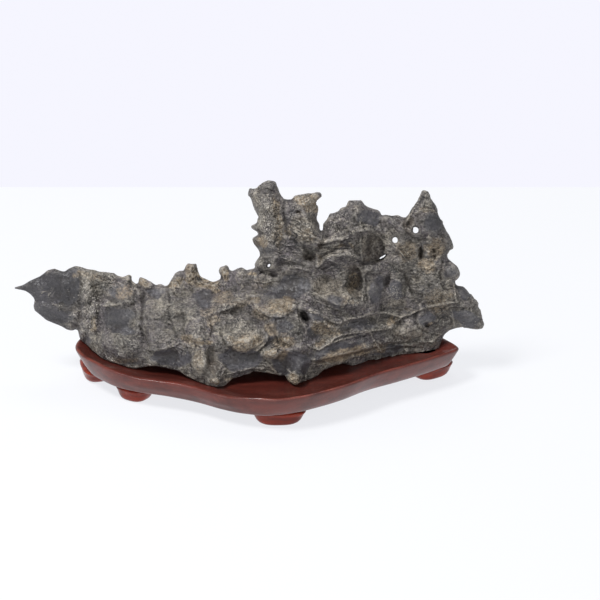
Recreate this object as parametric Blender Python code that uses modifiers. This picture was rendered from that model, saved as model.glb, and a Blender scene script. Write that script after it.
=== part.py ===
"""A scholar's rock on its carved rosewood stand: one eroded limestone, a dished slab and six feet.

The rock has no straight edge to dimension, so its forms are placed on a front view, as a carver
would draw it: VIEW_WIDTH units square, seen in perspective from VIEW_ELEVATION above the horizontal.
A place is then (u, v, y): u across and v down the view, and y the depth in millimetres, away from
the eye. Everything else is in millimetres, +X right, +Y away and +Z up, and becomes metres at the end.
"""

import math

import bmesh
import bpy
import numpy as np
from mathutils import Matrix, Vector, noise

# The front view.
VIEW_ELEVATION = math.radians(22.0)
VIEW_DISTANCE = 2000.0
VIEW_WIDTH = 600
VIEW_UNIT = 0.8  # millimetres to one unit of the view, at its centre
VIEW_CENTRE = np.array([0.0, 0.0, 65.8])

# Heights above the table.
FOOT_HEIGHT = 12.0
RIM_HEIGHT = 30.0
DISH_FLOOR = 26.0
GAP = 0.3  # clearance between two pieces that touch

# Triangle budgets and mesh sizes.
ROCK_TRIANGLES = 7850
FORM_VOXEL = 1.3
FINAL_VOXEL = 1.15
MEND_ROUNDS = 6
MERGE = 0.15

MM = 0.001
AHEAD = np.array([0.0, math.cos(VIEW_ELEVATION), -math.sin(VIEW_ELEVATION)])
UPWARD = np.array([0.0, math.sin(VIEW_ELEVATION), math.cos(VIEW_ELEVATION)])
ACROSS = np.array([1.0, 0.0, 0.0])
EYE = VIEW_CENTRE - VIEW_DISTANCE * AHEAD
SLOPE_PER_UNIT = VIEW_UNIT / VIEW_DISTANCE

# The stand's rim in plan, anticlockwise from its left end.
RIM_PLAN = [
    (-181, -6), (-177, -22), (-167, -37), (-150, -54), (-128, -67), (-101, -77), (-82, -86),
    (-64, -98), (-44, -108), (-20, -114), (0, -109), (20, -98), (41, -83), (62, -64), (84, -49),
    (105, -34), (120, -22), (127, -15), (127, -9), (120, 3), (108, 18), (88, 31), (58, 37), (20, 36),
    (-20, 38), (-60, 46), (-100, 51), (-136, 46), (-162, 31), (-176, 13),
]
RIM_POINTS = 72
# The slab's section: how far inside the rim, and how high.
SLAB_SECTION = [
    (11.0, FOOT_HEIGHT), (8.4, 12.5), (5.8, 16.0), (3.2, 21.0), (0.9, 26.5), (0.0, 29.0), (0.4, RIM_HEIGHT),
    (1.8, RIM_HEIGHT), (5.0, 28.8), (10.0, 27.0), (16.0, DISH_FLOOR),
]
LEAN_TO_RIGHT = 0.15  # share by which the side leans in more at the right end, and less at the left
SEAT_RINGS = 5  # the section's last rings, which the rock may rest on
SEAT_REACH = 1.6  # how far past the rim the rock's underside is cleared, as a multiple of the rim
# Each foot: the middle of its sole in plan, and the direction of the rim beside it.
FEET = {
    "foot_left_end": ((-165, -1), -76.0),
    "foot_left": ((-128, -44.5), -33.0),
    "foot_front": ((-16.5, -88.5), 2.0),
    "foot_right": ((108, 2), 35.0),
    "foot_rear_right": ((60, 22), 172.0),
    "foot_rear_left": ((-112, 36), 184.0),
}
# A foot's section: height, half its length along the rim, half its depth.
FOOT_SECTION = [
    (0.0, 11.0, 6.6), (1.0, 13.4, 8.4), (3.5, 16.4, 10.2), (7.5, 18.8, 11.4), (FOOT_HEIGHT - GAP, 20.0, 12.0),
]
FOOT_SIDES = 20

# The rock's body as a row of cross-sections, left to right: where its crest shows (u, v) and its depth,
# the v of the shoulder where the steep front wall turns back, then the depths of its front and rear foot.
SECTIONS = [
    (81, 296, 6, 318, 0, 18), (92, 288, 0, 316, -20, 24), (108, 284, -6, 318, -36, 32),
    (125, 286, -10, 318, -47, 38), (150, 294, -14, 322, -57, 34), (175, 290, -18, 330, -63, 27),
    (197, 286, -20, 336, -76, 29), (213, 290, -22, 344, -86, 34), (235, 286, -22, 346, -78, 30),
    (260, 278, -24, 342, -74, 20), (284, 268, -26, 338, -74, 19), (298, 266, -26, 338, -80, 25),
    (318, 262, -26, 330, -64, 30), (345, 244, -20, 318, -48, 26), (372, 238, -14, 312, -30, 17),
    (398, 240, -8, 306, -16, 20), (420, 246, -4, 304, -9, 22), (437, 272, 0, 306, -4, 18),
]
SHOULDER_SETBACK = 4.0
BURIED = 8.0  # how far the loft runs below the base before the base is cut flat

# Thin walls that make the skyline. Each: depth of its middle at its left and right ends, half its
# thickness inside and at its edge, and its outline in the view.
WALLS = {
    "wing": (6, -2, 7.0, 1.4, [
        (13, 289), (22, 284), (33, 279), (41, 275), (46, 270), (56, 268), (62, 271), (66, 271), (71, 267),
        (77, 266), (86, 268), (96, 280), (100, 300), (98, 325), (92, 338), (80, 340), (78, 331), (74, 330), (70, 332),
        (64, 331), (60, 328), (53, 325), (46, 322), (38, 317), (33, 312), (32, 305), (34, 300), (30, 296),
        (25, 290)]),
    "left_ridge": (-4, -20, 9.0, 1.8, [
        (74, 268), (80, 268), (88, 269), (95, 270), (99, 271), (107, 271), (114, 272), (119, 275),
        (126, 275), (129, 272), (133, 272), (132, 281), (135, 285), (138, 284), (139, 274), (146, 278),
        (152, 281), (157, 284), (161, 283), (166, 286), (168, 285), (172, 276), (175, 271), (180, 269),
        (184, 270), (187, 264), (197, 264), (198, 275), (200, 280), (206, 282), (213, 283), (219, 281),
        (222, 279), (219, 274), (218, 269), (222, 268), (225, 267), (228, 268), (229, 272), (234, 273),
        (237, 270), (242, 269), (246, 272), (251, 271), (258, 270), (268, 272), (262, 300), (200, 312),
        (140, 312), (90, 305), (74, 290)]),
    "tower": (-24, -30, 13.0, 3.0, [
        (256, 262), (261, 258), (262, 252), (260, 247), (253, 243), (250, 239), (252, 236), (259, 235),
        (260, 232), (254, 231), (250, 228), (252, 225), (258, 223), (259, 218), (256, 212), (252, 203),
        (251, 199), (247, 196), (249, 188), (258, 190), (259, 188), (264, 184), (270, 183), (275, 183),
        (278, 192), (282, 199), (286, 203), (290, 235), (300, 275), (290, 290), (262, 290), (256, 272)]),
    "tower_shoulder": (-32, -26, 9.0, 2.0, [
        (280, 201), (287, 203), (293, 201), (296, 196), (302, 194), (308, 194), (315, 193), (322, 191),
        (325, 196), (322, 199), (316, 201), (314, 205), (318, 208), (318, 214), (316, 220), (319, 227),
        (320, 231), (325, 232), (330, 250), (318, 280), (290, 280), (280, 240)]),
    "middle_peak": (-24, -8, 10.0, 2.0, [
        (319, 240), (322, 231), (324, 226), (325, 222), (328, 219), (330, 214), (336, 213), (341, 211), (342, 207),
        (347, 206), (348, 199), (362, 199), (365, 204), (370, 207), (377, 208), (381, 212), (381, 217),
        (384, 215), (392, 215), (399, 215), (404, 217), (407, 219), (412, 230), (412, 270), (380, 285),
        (330, 285), (318, 262)]),
    "right_peak": (-8, 2, 8.0, 1.8, [
        (403, 224), (407, 219), (411, 216), (414, 211), (418, 205), (420, 199), (421, 188), (424, 186),
        (430, 188), (433, 198), (438, 204), (439, 212), (441, 220), (445, 229), (450, 238), (455, 247),
        (453, 251), (448, 251), (447, 256), (451, 261), (456, 265), (460, 270), (461, 276), (455, 280),
        (455, 284), (458, 290), (445, 300), (415, 300), (406, 240)]),
    "right_end": (0, 8, 9.0, 1.8, [
        (438, 285), (456, 285), (463, 285), (467, 290), (471, 297), (475, 302), (477, 306), (478, 309),
        (481, 312), (483, 320), (485, 324), (483, 329), (478, 330), (470, 329), (465, 328), (458, 328),
        (452, 328), (447, 332), (441, 339), (432, 346), (415, 340), (415, 300)]),
}
WALL_EASE = 10.0  # how far in from the outline a wall reaches its full thickness
BLOCK_SIDES = 2.2  # how steep a lobe's sides are: 1 has no flat top
LEDGE_DROP = 1.5  # view units over which a ledge drops back

# Lobes and hollows of the front face: (u, v), half width and half height in view units, tilt in
# degrees, and how far the middle stands out or in.
LOBES = [
    (88, 300, 10, 30, 0, 6), (86, 342, 8, 10, 0, 4), (120, 344, 26, 18, 8, 7), (118, 300, 22, 20, -10, 4),
    (164, 304, 20, 22, 0, 6), (160, 340, 19, 15, 0, 6), (197, 331, 15, 16, 20, 9), (199, 362, 11, 18, 10, 7),
    (216, 380, 8, 8, 0, 5), (246, 332, 24, 18, -18, 9), (228, 300, 30, 10, -10, 5), (270, 306, 28, 14, 8, 7),
    (285, 330, 20, 13, -20, 7), (270, 353, 14, 8, -18, 7), (294, 377, 10, 10, 0, 7),
    (267, 225, 13, 44, -4, 5), (268, 262, 14, 14, 0, 5), (302, 228, 20, 30, -38, 5),
    (345, 300, 24, 14, 8, 7), (322, 318, 22, 13, 14, 5), (338, 348, 32, 11, -14, 8),
    (375, 340, 30, 12, -12, 8), (412, 328, 28, 14, -18, 9), (370, 298, 16, 22, 10, 6),
    (392, 290, 15, 24, 14, 6), (428, 285, 20, 20, 0, 7), (340, 258, 22, 8, -8, 6),
    (355, 214, 15, 12, 0, 4), (430, 225, 12, 22, -14, 4), (465, 315, 18, 9, 12, 5),
    (452, 271, 9, 8, 20, 5), (462, 298, 12, 9, 30, 3),
]
HOLLOWS = [
    (52, 298, 22, 26, -16, 7), (370, 247, 15, 18, 8, 15), (364, 262, 7, 5, -20, 6), (354, 281, 9, 16, 0, 9),
    (309, 255, 7, 8, 0, 11), (211, 354, 6, 10, 0, 6), (421, 254, 4, 9, 0, 9), (435, 254, 5, 7, 0, 9),
    (304, 317, 4, 8, -25, 8), (299, 213, 5, 3, 0, 5), (271, 274, 8, 4, 20, 7), (262, 273, 3, 3, 0, 4),
    (396, 346, 7, 3, 0, 5), (408, 292, 5, 16, -22, 6), (389, 283, 4, 12, -14, 4), (427, 326, 5, 4, 0, 4),
    (428, 313, 10, 8, 0, 3), (84, 340, 5, 7, 0, 3), (326, 245, 7, 5, 0, 4),
]
# Ledges: the face comes forward towards the line from above, then drops back below it. Each: how far
# above the line it starts, how far forward it comes, and the line from left to right.
LEDGES = [
    (10, 4, [(102, 306), (118, 304), (132, 302), (139, 306)]),
    (9, 4, [(148, 352), (170, 350), (186, 346), (197, 349)]),
    (12, 5, [(184, 312), (205, 318), (218, 313), (232, 306), (252, 302)]),
    (10, 5, [(222, 338), (232, 347), (246, 351), (258, 347), (268, 336), (276, 322)]),
    (8, 4, [(262, 352), (274, 357), (286, 351), (298, 352)]),
    (12, 5, [(236, 288), (258, 296), (276, 298), (290, 303), (300, 310)]),
    (10, 6, [(318, 247), (330, 243), (344, 238), (352, 233), (360, 229), (370, 230), (378, 236)]),
    (8, 4, [(316, 270), (324, 263), (336, 256), (350, 257), (358, 262)]),
    (10, 4, [(322, 298), (335, 306), (350, 309), (362, 306)]),
    (12, 5, [(302, 350), (322, 346), (336, 338), (352, 337), (370, 331), (392, 328)]),
    (8, 5, [(312, 362), (328, 357), (345, 354), (358, 350), (372, 347)]),
    (10, 4, [(340, 323), (362, 317), (384, 316), (402, 318), (415, 313), (432, 307), (447, 303)]),
    (9, 4, [(384, 216), (398, 229), (410, 232), (420, 236)]),
    (9, 5, [(352, 330), (376, 326), (392, 327), (398, 318)]),
    (8, 5, [(388, 344), (402, 343), (420, 343), (436, 342)]),
    (8, 4, [(440, 262), (444, 272), (450, 281), (457, 284)]),
    (8, 4, [(446, 306), (458, 307), (470, 306), (478, 310)]),
    (10, 5, [(286, 236), (294, 240), (304, 248), (312, 262), (318, 268)]),
    (8, 3, [(258, 190), (266, 189), (274, 188)]),
    (9, 3, [(286, 262), (300, 266), (310, 270)]),
    (10, 4, [(350, 226), (364, 222), (378, 222)]),
]
# Creases: half width in view units, depth in millimetres, and the line.
CREASES = [
    (3, 5, [(141, 282), (140, 300), (142, 330), (147, 352)]),
    (3, 3, [(100, 285), (101, 310), (97, 335), (94, 352)]),
    (3, 3, [(183, 316), (180, 332), (186, 345)]),
    (3, 5, [(284, 204), (284, 225), (286, 245)]),
    (3, 3, [(443, 262), (442, 274), (450, 286), (454, 298)]),
    (3, 3, [(322, 282), (330, 276), (338, 280)]),
]

# Lobes (out) and hollows (in) of the rear face, placed by x and z: half width, half height, tilt in degrees, height.
REAR_FORMS = [
    (-150, 62, 22, 26, 20, 5), (-112, 48, 24, 16, -12, 7), (-96, 82, 16, 12, 10, -6), (-64, 60, 20, 24, -25, 6),
    (-36, 92, 12, 18, 0, -7), (-30, 44, 18, 12, 15, 5), (-4, 74, 22, 28, 24, 7), (22, 112, 14, 18, -15, -7),
    (34, 52, 20, 14, -10, 6), (52, 92, 16, 24, 18, 6), (74, 62, 12, 16, 0, -6), (92, 104, 16, 22, -20, 5),
    (100, 46, 14, 12, 10, 5), (-26, 140, 9, 20, 0, 4), (-178, 84, 20, 12, 12, -4),
]

# Bores through the thin walls, seen from the eye: (u, v) and half width and half height.
HOLES = [(395, 240, 2.6, 2.8, 0), (415, 230, 3.0, 3.2, -20), (382, 258, 1.7, 5.5, 48), (268, 265, 2.2, 3.2, 40)]

# Arches under the rock: plan position, half length, half depth and height.
ARCHES = [((-33, -78), 26, 34, 11), ((-108, -62), 22, 26, 6), ((30, -56), 15, 24, 8), ((-60, 30), 40, 22, 9)]
ROCK_BASE = DISH_FLOOR + GAP


def seen(u, v, y):
    """The point at depth y that shows at (u, v) in the front view."""
    sight = AHEAD + ACROSS * (u - VIEW_WIDTH / 2) * SLOPE_PER_UNIT + UPWARD * (VIEW_WIDTH / 2 - v) * SLOPE_PER_UNIT
    return EYE + sight * (y - EYE[1]) / sight[1]


def in_view(points):
    """Where points (n, 3) show in the front view, as an array (n, 2) of u and v."""
    from_eye = points - EYE
    far = from_eye @ AHEAD * SLOPE_PER_UNIT
    return np.stack([VIEW_WIDTH / 2 + from_eye @ ACROSS / far, VIEW_WIDTH / 2 - from_eye @ UPWARD / far], axis=1)


def distance_to_line(places, line):
    """For places (n, 2): how far the line is in view units, whether they are on its upper side as it
    runs to the right, and how far past its ends they are."""
    line = np.asarray(line, float)
    nearest, past_end = np.full(len(places), np.inf), np.zeros(len(places))
    above = np.zeros(len(places), bool)
    for start, end in zip(line[:-1], line[1:]):
        run = end - start
        length = np.linalg.norm(run)
        free = (places - start) @ run / length
        along = np.clip(free, 0, length)
        away = np.linalg.norm(places - start - (along / length)[:, None] * run, axis=1)
        side = (places[:, 0] - start[0]) * run[1] - (places[:, 1] - start[1]) * run[0] > 0
        closer = away < nearest
        nearest = np.where(closer, away, nearest)
        above = np.where(closer, side, above)
        past_end = np.where(closer, np.abs(free - along), past_end)
    return nearest, above, past_end


def ease(x):
    """0 below 0, 1 above 1, and a smooth step between."""
    x = np.clip(x, 0, 1)
    return x * x * (3 - 2 * x)


def through_points(points, count):
    """A closed smooth curve through points, as count places an equal share of the way round."""
    points = np.asarray(points, float)
    before, after, beyond = np.roll(points, 1, 0), np.roll(points, -1, 0), np.roll(points, -2, 0)
    steps = np.linspace(0, 1, 12, endpoint=False)[:, None, None]
    fine = 0.5 * (
        2 * points + (after - before) * steps + (2 * before - 5 * points + 4 * after - beyond) * steps**2
        + (3 * points - before - 3 * after + beyond) * steps**3
    )
    fine = fine.transpose(1, 0, 2).reshape(-1, 2)
    closed = np.vstack([fine, fine[:1]])
    along = np.concatenate([[0], np.cumsum(np.linalg.norm(np.diff(closed, axis=0), axis=1))])
    at = np.linspace(0, along[-1], count, endpoint=False)
    return np.stack([np.interp(at, along, closed[:, k]) for k in range(2)], axis=1)


def inset_outline(outline, inset):
    """An anticlockwise outline moved inwards along its own normals, a little further at its right end."""
    tangent = np.roll(outline, -1, 0) - np.roll(outline, 1, 0)
    tangent /= np.linalg.norm(tangent, axis=1)[:, None]
    inward = np.stack([-tangent[:, 1], tangent[:, 0]], axis=1)
    return outline + inset * (1 - LEAN_TO_RIGHT * inward[:, :1]) * inward


def collection(name):
    made = bpy.data.collections.new(name)
    bpy.context.scene.collection.children.link(made)
    return made


def new_object(name, mesh, home):
    obj = bpy.data.objects.new(name, mesh)
    home.objects.link(obj)
    return obj


def mesh_object(name, points, faces, home):
    mesh = bpy.data.meshes.new(name)
    mesh.from_pydata([tuple(p) for p in points], [], faces)
    mesh.update()
    return new_object(name, mesh, home)


def loft(name, rings, home):
    """A closed solid through rings of equal length, each running the same way round, with flat ends."""
    count = len(rings[0])
    faces = []
    for ring in range(len(rings) - 1):
        for i in range(count):
            j = (i + 1) % count
            low, high = ring * count, (ring + 1) * count
            faces.append((low + i, low + j, high + j, high + i))
    top = (len(rings) - 1) * count
    faces.append(tuple(reversed(range(count))))
    faces.append(tuple(range(top, top + count)))
    return mesh_object(name, np.concatenate(rings), faces, home)


def points_of(mesh):
    points = np.empty(len(mesh.vertices) * 3, np.float32)
    mesh.vertices.foreach_get("co", points)
    return points.reshape(-1, 3).astype(float)


def set_points(mesh, points):
    mesh.vertices.foreach_set("co", points.astype(np.float32).ravel())
    mesh.update()


def as_cutter(obj, home):
    """Moves a fresh primitive to the cutters and leaves it out of every render."""
    for old in obj.users_collection:
        old.objects.unlink(obj)
    home.objects.link(obj)
    obj.hide_render = True
    obj.display_type = "WIRE"
    return obj


def apply_modifiers(obj):
    """Makes the object's evaluated shape its own mesh."""
    graph = bpy.context.evaluated_depsgraph_get()
    made = bpy.data.meshes.new_from_object(obj.evaluated_get(graph))
    obj.modifiers.clear()
    obj.data = made


def remesh(obj, voxel):
    """Joins what overlaps in the object into one skin of even faces."""
    modifier = obj.modifiers.new("even_skin", "REMESH")
    modifier.mode = "VOXEL"
    modifier.voxel_size = voxel
    apply_modifiers(obj)


def join(name, objects, home):
    """One object that holds the meshes of all, which it removes."""
    work = bmesh.new()
    for obj in objects:
        mesh = obj.data.copy()
        mesh.transform(obj.matrix_world)
        work.from_mesh(mesh)
        bpy.data.objects.remove(obj)
    mesh = bpy.data.meshes.new(name)
    work.to_mesh(mesh)
    work.free()
    return new_object(name, mesh, home)


def rock_body(home):
    """The rock's bulk: a loft through SECTIONS, each a steep front wall, a slope back to the crest and a rounded rear."""
    rings = []
    for u, v, crest_y, shoulder_v, front_y, rear_y in SECTIONS:
        crest = seen(u, v, crest_y)
        shoulder = seen(u, shoulder_v, front_y + SHOULDER_SETBACK)
        slope = (crest + 2 * shoulder) / 3 + AHEAD * -3.0
        rise = crest[2] - ROCK_BASE
        profile = [
            (front_y + 2, ROCK_BASE - BURIED), (front_y, ROCK_BASE), (front_y, (ROCK_BASE + shoulder[2]) / 2),
            (shoulder[1], shoulder[2]), (slope[1], slope[2]), (crest_y - 5, crest[2] - 2), (crest_y, crest[2]),
            (crest_y + 7, crest[2] - 5), (rear_y * 0.8, ROCK_BASE + rise * 0.62), (rear_y, ROCK_BASE + rise * 0.3),
            (rear_y, ROCK_BASE), (rear_y - 2, ROCK_BASE - BURIED),
        ]
        rings.append(np.array([(crest[0], y, z) for y, z in profile]))
    return loft("body", rings, home)


def rock_wall(name, left_y, right_y, thick, edge, outline, home):
    """A wall of the skyline: its outline in the view given thickness, thinned towards its edge."""
    outline = np.array(outline, float)
    across = outline[:, 0]
    share = (across - across.min()) / np.ptp(across)
    middles = left_y + (right_y - left_y) * share
    rings = [np.array([seen(u, v, y) - AHEAD * side * thick for (u, v), y in zip(outline, middles)]) for side in (-1, 1)]
    wall = loft(name, rings, home)
    remesh(wall, FORM_VOXEL)
    points = points_of(wall.data)
    places = in_view(points)
    share = np.clip((places[:, 0] - across.min()) / np.ptp(across), 0, 1)
    middle = left_y + (right_y - left_y) * share
    inside = distance_to_line(places, np.vstack([outline, outline[:1]]))[0] * VIEW_UNIT
    keep = edge / thick + (1 - edge / thick) * np.sqrt(ease(inside / WALL_EASE))
    depth = (points - EYE) @ AHEAD
    middle_depth = (np.stack([points[:, 0], middle, points[:, 2]], axis=1) - EYE) @ AHEAD
    shift = (depth - middle_depth) * (keep - 1)
    set_points(wall.data, points + shift[:, None] * AHEAD)
    return wall


def front_relief(places):
    """How far the front face stands out at places in the view: its highest lobe and the ledges, less hollows and creases."""
    out = np.zeros(len(places))
    for u, v, half_width, half_height, tilt, height in LOBES:
        out = np.maximum(out, height * block(places, u, v, half_width, half_height, tilt))
    for u, v, half_width, half_height, tilt, depth in HOLLOWS:
        out -= depth * dome(places, u, v, half_width, half_height, tilt)
    for reach, height, line in LEDGES:
        out += height * ledge(places, line, reach)
    for width, depth, line in CREASES:
        out -= depth * np.exp(-((distance_to_line(places, line)[0] / width) ** 2))
    return out


def ledge(places, line, reach):
    """1 just above the line, easing to 0 at reach above it and dropping to 0 below it and past its ends."""
    away, above, end = distance_to_line(places, line)
    rise = np.clip(1 - away / reach, 0, 1)
    return np.where(above, rise, ease(1 - away / LEDGE_DROP)) * ease(1 - end / reach)


def within(places, u, v, half_width, half_height, tilt, corners):
    """Share of the way from (u, v) to the edge of a tilted outline: an ellipse at 2 corners, nearer a diamond towards 1."""
    turn = math.radians(tilt)
    du, dv = places[:, 0] - u, places[:, 1] - v
    along = np.abs(du * math.cos(turn) + dv * math.sin(turn)) / half_width
    over = np.abs(-du * math.sin(turn) + dv * math.cos(turn)) / half_height
    return (along**corners + over**corners) ** (1 / corners)


def dome(places, *outline):
    """1 in the middle, falling to 0 at the edge as a rounded dome does."""
    return np.sqrt(np.clip(1 - within(places, *outline, 2.0) ** 2, 0, 1))


def block(places, *outline):
    """1 over a flat top, and straight sides down to 0 at the edge."""
    return np.clip((1 - within(places, *outline, 1.4)) * BLOCK_SIDES, 0, 1)


def normals_of(mesh):
    normals = np.empty(len(mesh.vertices) * 3, np.float32)
    mesh.vertex_normals.foreach_get("vector", normals)
    return normals.reshape(-1, 3).astype(float)


def carve(obj):
    """Gives the joined rock its lobes, hollows and ridges in front, and lumps of its own all round."""
    points, normals = points_of(obj.data), normals_of(obj.data)
    facing = ease((-(normals @ AHEAD) + 0.1) / 0.5)
    points = points - (front_relief(in_view(points)) * facing)[:, None] * AHEAD
    lumps = np.array([lump(Vector(p)) for p in points])
    rear = ease((normals[:, 1] + 0.2) / 0.6)
    for x, z, half_width, half_height, tilt, height in REAR_FORMS:
        points[:, 1] += rear * height * dome(points[:, [0, 2]], x, z, half_width, half_height, tilt)
    set_points(obj.data, points + normals * (lumps * (0.45 + 0.55 * rear))[:, None])


def lump(place):
    """Flat-faced lumps parted by sharp creases, longer than high, with smaller ones on them."""
    bedded = Vector((place.x * 0.75, place.y, place.z * 1.25 - place.x * 0.15))
    near, second = noise.voronoi(bedded / 24.0, distance_metric="MANHATTAN")[0][:2]
    small_near, small_second = noise.voronoi(bedded / 10.0 + Vector((7, 3, 1)), distance_metric="MANHATTAN")[0][:2]
    broad = noise.noise(place / 45.0) * 3.0
    return broad + 5.0 * min(second - near, 0.8) + 2.2 * min(small_second - small_near, 0.8) - 3.0


def cut(obj, cutter, solver="EXACT"):
    modifier = obj.modifiers.new("cut_" + cutter.name, "BOOLEAN")
    modifier.operation = "DIFFERENCE"
    modifier.solver = solver
    modifier.object = cutter


def seat_cutter(home):
    """All that lies under the rock's seat: the dished top of the slab, raised by the gap and carried on past the rim."""
    rim = through_points(RIM_PLAN, RIM_POINTS)
    around = rim.mean(0) + (rim - rim.mean(0)) * SEAT_REACH
    section = [(around, -RIM_HEIGHT), (around, RIM_HEIGHT + GAP)]
    section += [(inset_outline(rim, inset), height + GAP) for inset, height in SLAB_SECTION[-SEAT_RINGS:]]
    rings = [np.column_stack([ring, np.full(RIM_POINTS, height)]) for ring, height in section]
    return as_cutter(loft("under_the_seat", rings, home), home)


def arch_cutter(number, plan, half_length, half_depth, height, home):
    bpy.ops.mesh.primitive_uv_sphere_add(segments=20, ring_count=12, location=(*plan, ROCK_BASE - 0.5))
    cutter = bpy.context.object
    cutter.name = f"arch_{number}"
    cutter.scale = (half_length, half_depth, height)
    return as_cutter(cutter, home)


def hole_cutter(number, u, v, half_width, half_height, tilt, home):
    """A bore along the line of sight through (u, v)."""
    bpy.ops.mesh.primitive_cylinder_add(vertices=10, radius=1, depth=200)
    cutter = bpy.context.object
    cutter.name = f"bore_{number}"
    middle = seen(u, v, -15)
    sight = Vector(middle - EYE).normalized()
    turn = sight.to_track_quat("Z", "Y").to_matrix().to_4x4() @ Matrix.Rotation(math.radians(tilt), 4, "Z")
    size = Matrix.Diagonal((half_width * VIEW_UNIT, half_height * VIEW_UNIT, 1, 1))
    cutter.matrix_world = Matrix.Translation(Vector(middle)) @ turn @ size
    return as_cutter(cutter, home)


def make_rock(home, helpers):
    body = rock_body(home)
    walls = [rock_wall(name, *sizes, home) for name, sizes in WALLS.items()]
    rock = join("rock", [body, *walls], home)
    remesh(rock, FORM_VOXEL)
    smooth(rock, 0.5, 3)
    carve(rock)
    remesh(rock, FORM_VOXEL)
    smooth(rock, 0.5, 2)
    cutters = [arch_cutter(i, *sizes, helpers) for i, sizes in enumerate(ARCHES)]
    cutters += [hole_cutter(i, *sizes, helpers) for i, sizes in enumerate(HOLES)]
    for cutter in cutters:
        cut(rock, cutter)
    bpy.context.view_layer.update()
    apply_modifiers(rock)
    remesh(rock, FINAL_VOXEL)
    decimate(rock, ROCK_TRIANGLES)
    mend(rock)
    cut(rock, seat_cutter(helpers), solver="MANIFOLD")
    bpy.context.view_layer.update()
    apply_modifiers(rock)
    mend(rock)
    return rock


def smooth(obj, factor, times):
    modifier = obj.modifiers.new("smooth", "SMOOTH")
    modifier.factor = factor
    modifier.iterations = times
    apply_modifiers(obj)


def mend(obj):
    """Takes out the faces round any edge that doesn't part exactly two faces, keeps the one large piece and closes it."""
    work = bmesh.new()
    work.from_mesh(obj.data)
    bmesh.ops.remove_doubles(work, verts=work.verts[:], dist=MERGE)
    bmesh.ops.dissolve_degenerate(work, dist=MERGE, edges=work.edges[:])
    bmesh.ops.triangulate(work, faces=work.faces[:])
    for _ in range(MEND_ROUNDS):
        faulty = {vert for edge in work.edges if len(edge.link_faces) != 2 for vert in edge.verts}
        faulty |= {vert for vert in work.verts if not vert.is_manifold}
        if not faulty:
            break
        bmesh.ops.delete(work, geom=list({face for vert in faulty for face in vert.link_faces}), context="FACES")
        keep_largest(work)
        bmesh.ops.holes_fill(work, edges=[edge for edge in work.edges if edge.is_boundary], sides=0)
        bmesh.ops.triangulate(work, faces=work.faces[:])
    bmesh.ops.recalc_face_normals(work, faces=work.faces[:])
    work.to_mesh(obj.data)
    work.free()


def keep_largest(work):
    """Drops loose vertices and every crumb but the largest piece."""
    unseen = set(work.verts)
    islands = []
    while unseen:
        island, edge = set(), [next(iter(unseen))]
        while edge:
            vert = edge.pop()
            if vert in island:
                continue
            island.add(vert)
            edge.extend(joined.other_vert(vert) for joined in vert.link_edges)
        unseen -= island
        islands.append(island)
    islands.sort(key=len)
    bmesh.ops.delete(work, geom=[vert for island in islands[:-1] for vert in island], context="VERTS")


def decimate(obj, triangles):
    modifier = obj.modifiers.new("facets", "DECIMATE")
    obj.data.calc_loop_triangles()
    modifier.ratio = triangles / len(obj.data.loop_triangles)
    modifier.use_collapse_triangulate = True
    apply_modifiers(obj)


def make_slab(home):
    rim = through_points(RIM_PLAN, RIM_POINTS)
    rings = []
    for inset, height in SLAB_SECTION:
        ring = inset_outline(rim, inset)
        rings.append(np.column_stack([ring, np.full(len(ring), height)]))
    return loft("stand_slab", rings, home)


def make_foot(name, plan, along, home):
    turn = math.radians(along)
    step = np.linspace(0, 2 * math.pi, FOOT_SIDES, endpoint=False)
    rings = []
    for height, half_length, half_depth in FOOT_SECTION:
        x = half_length * np.sign(np.cos(step)) * np.abs(np.cos(step)) ** 0.7
        y = half_depth * np.sign(np.sin(step)) * np.abs(np.sin(step)) ** 0.7
        rings.append(np.column_stack([
            plan[0] + x * math.cos(turn) - y * math.sin(turn),
            plan[1] + x * math.sin(turn) + y * math.cos(turn),
            np.full(FOOT_SIDES, height),
        ]))
    return loft(name, rings, home)


def material(name, colour, roughness):
    made = bpy.data.materials.new(name)
    made.use_nodes = True
    shader = made.node_tree.nodes["Principled BSDF"]
    shader.inputs["Base Color"].default_value = (*colour, 1)
    shader.inputs["Roughness"].default_value = roughness
    shader.inputs["Metallic"].default_value = 0.0
    return made


def settle(objects):
    """Puts the middle of the whole object's base at the origin, in metres, and returns the shift in millimetres."""
    corners = np.concatenate([points_of(obj.data) for obj in objects])
    low, high = corners.min(0), corners.max(0)
    shift = np.array([-(low[0] + high[0]) / 2, -(low[1] + high[1]) / 2, -low[2]])
    for obj in objects:
        set_points(obj.data, (points_of(obj.data) + shift) * MM)
    return shift


def main():
    for obj in list(bpy.data.objects):
        bpy.data.objects.remove(obj)
    home, helpers = collection("scholars_rock"), collection("cutters")
    rock = make_rock(home, helpers)
    slab = make_slab(home)
    feet = [make_foot(name, *place, home) for name, place in FEET.items()]
    shift = settle([rock, slab, *feet])
    limestone = material("limestone", (0.09, 0.085, 0.08), 0.55)
    rosewood = material("rosewood", (0.16, 0.035, 0.02), 0.3)
    rock.data.materials.append(limestone)
    for piece in (slab, *feet):
        piece.data.materials.append(rosewood)
    return shift


if __name__ == "__main__":
    main()
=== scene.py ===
"""A scholar's rock on its carved rosewood stand.

The rock is an eroded grey limestone: a long body with a thin wing at its left end, a tower, two
peaks and a pointed right end. It stands in the shallow dish of a low slab on six cushion feet.

The rock's forms are placed on a front drawing, VIEW units across and down it, and everything that
is worked out is in millimetres, +X right, +Y away and +Z up, until a mesh is made, in metres.
"""

from __future__ import annotations

import logging
import math
from dataclasses import dataclass, field
from enum import Enum
from typing import Callable, Iterator, Sequence

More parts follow.
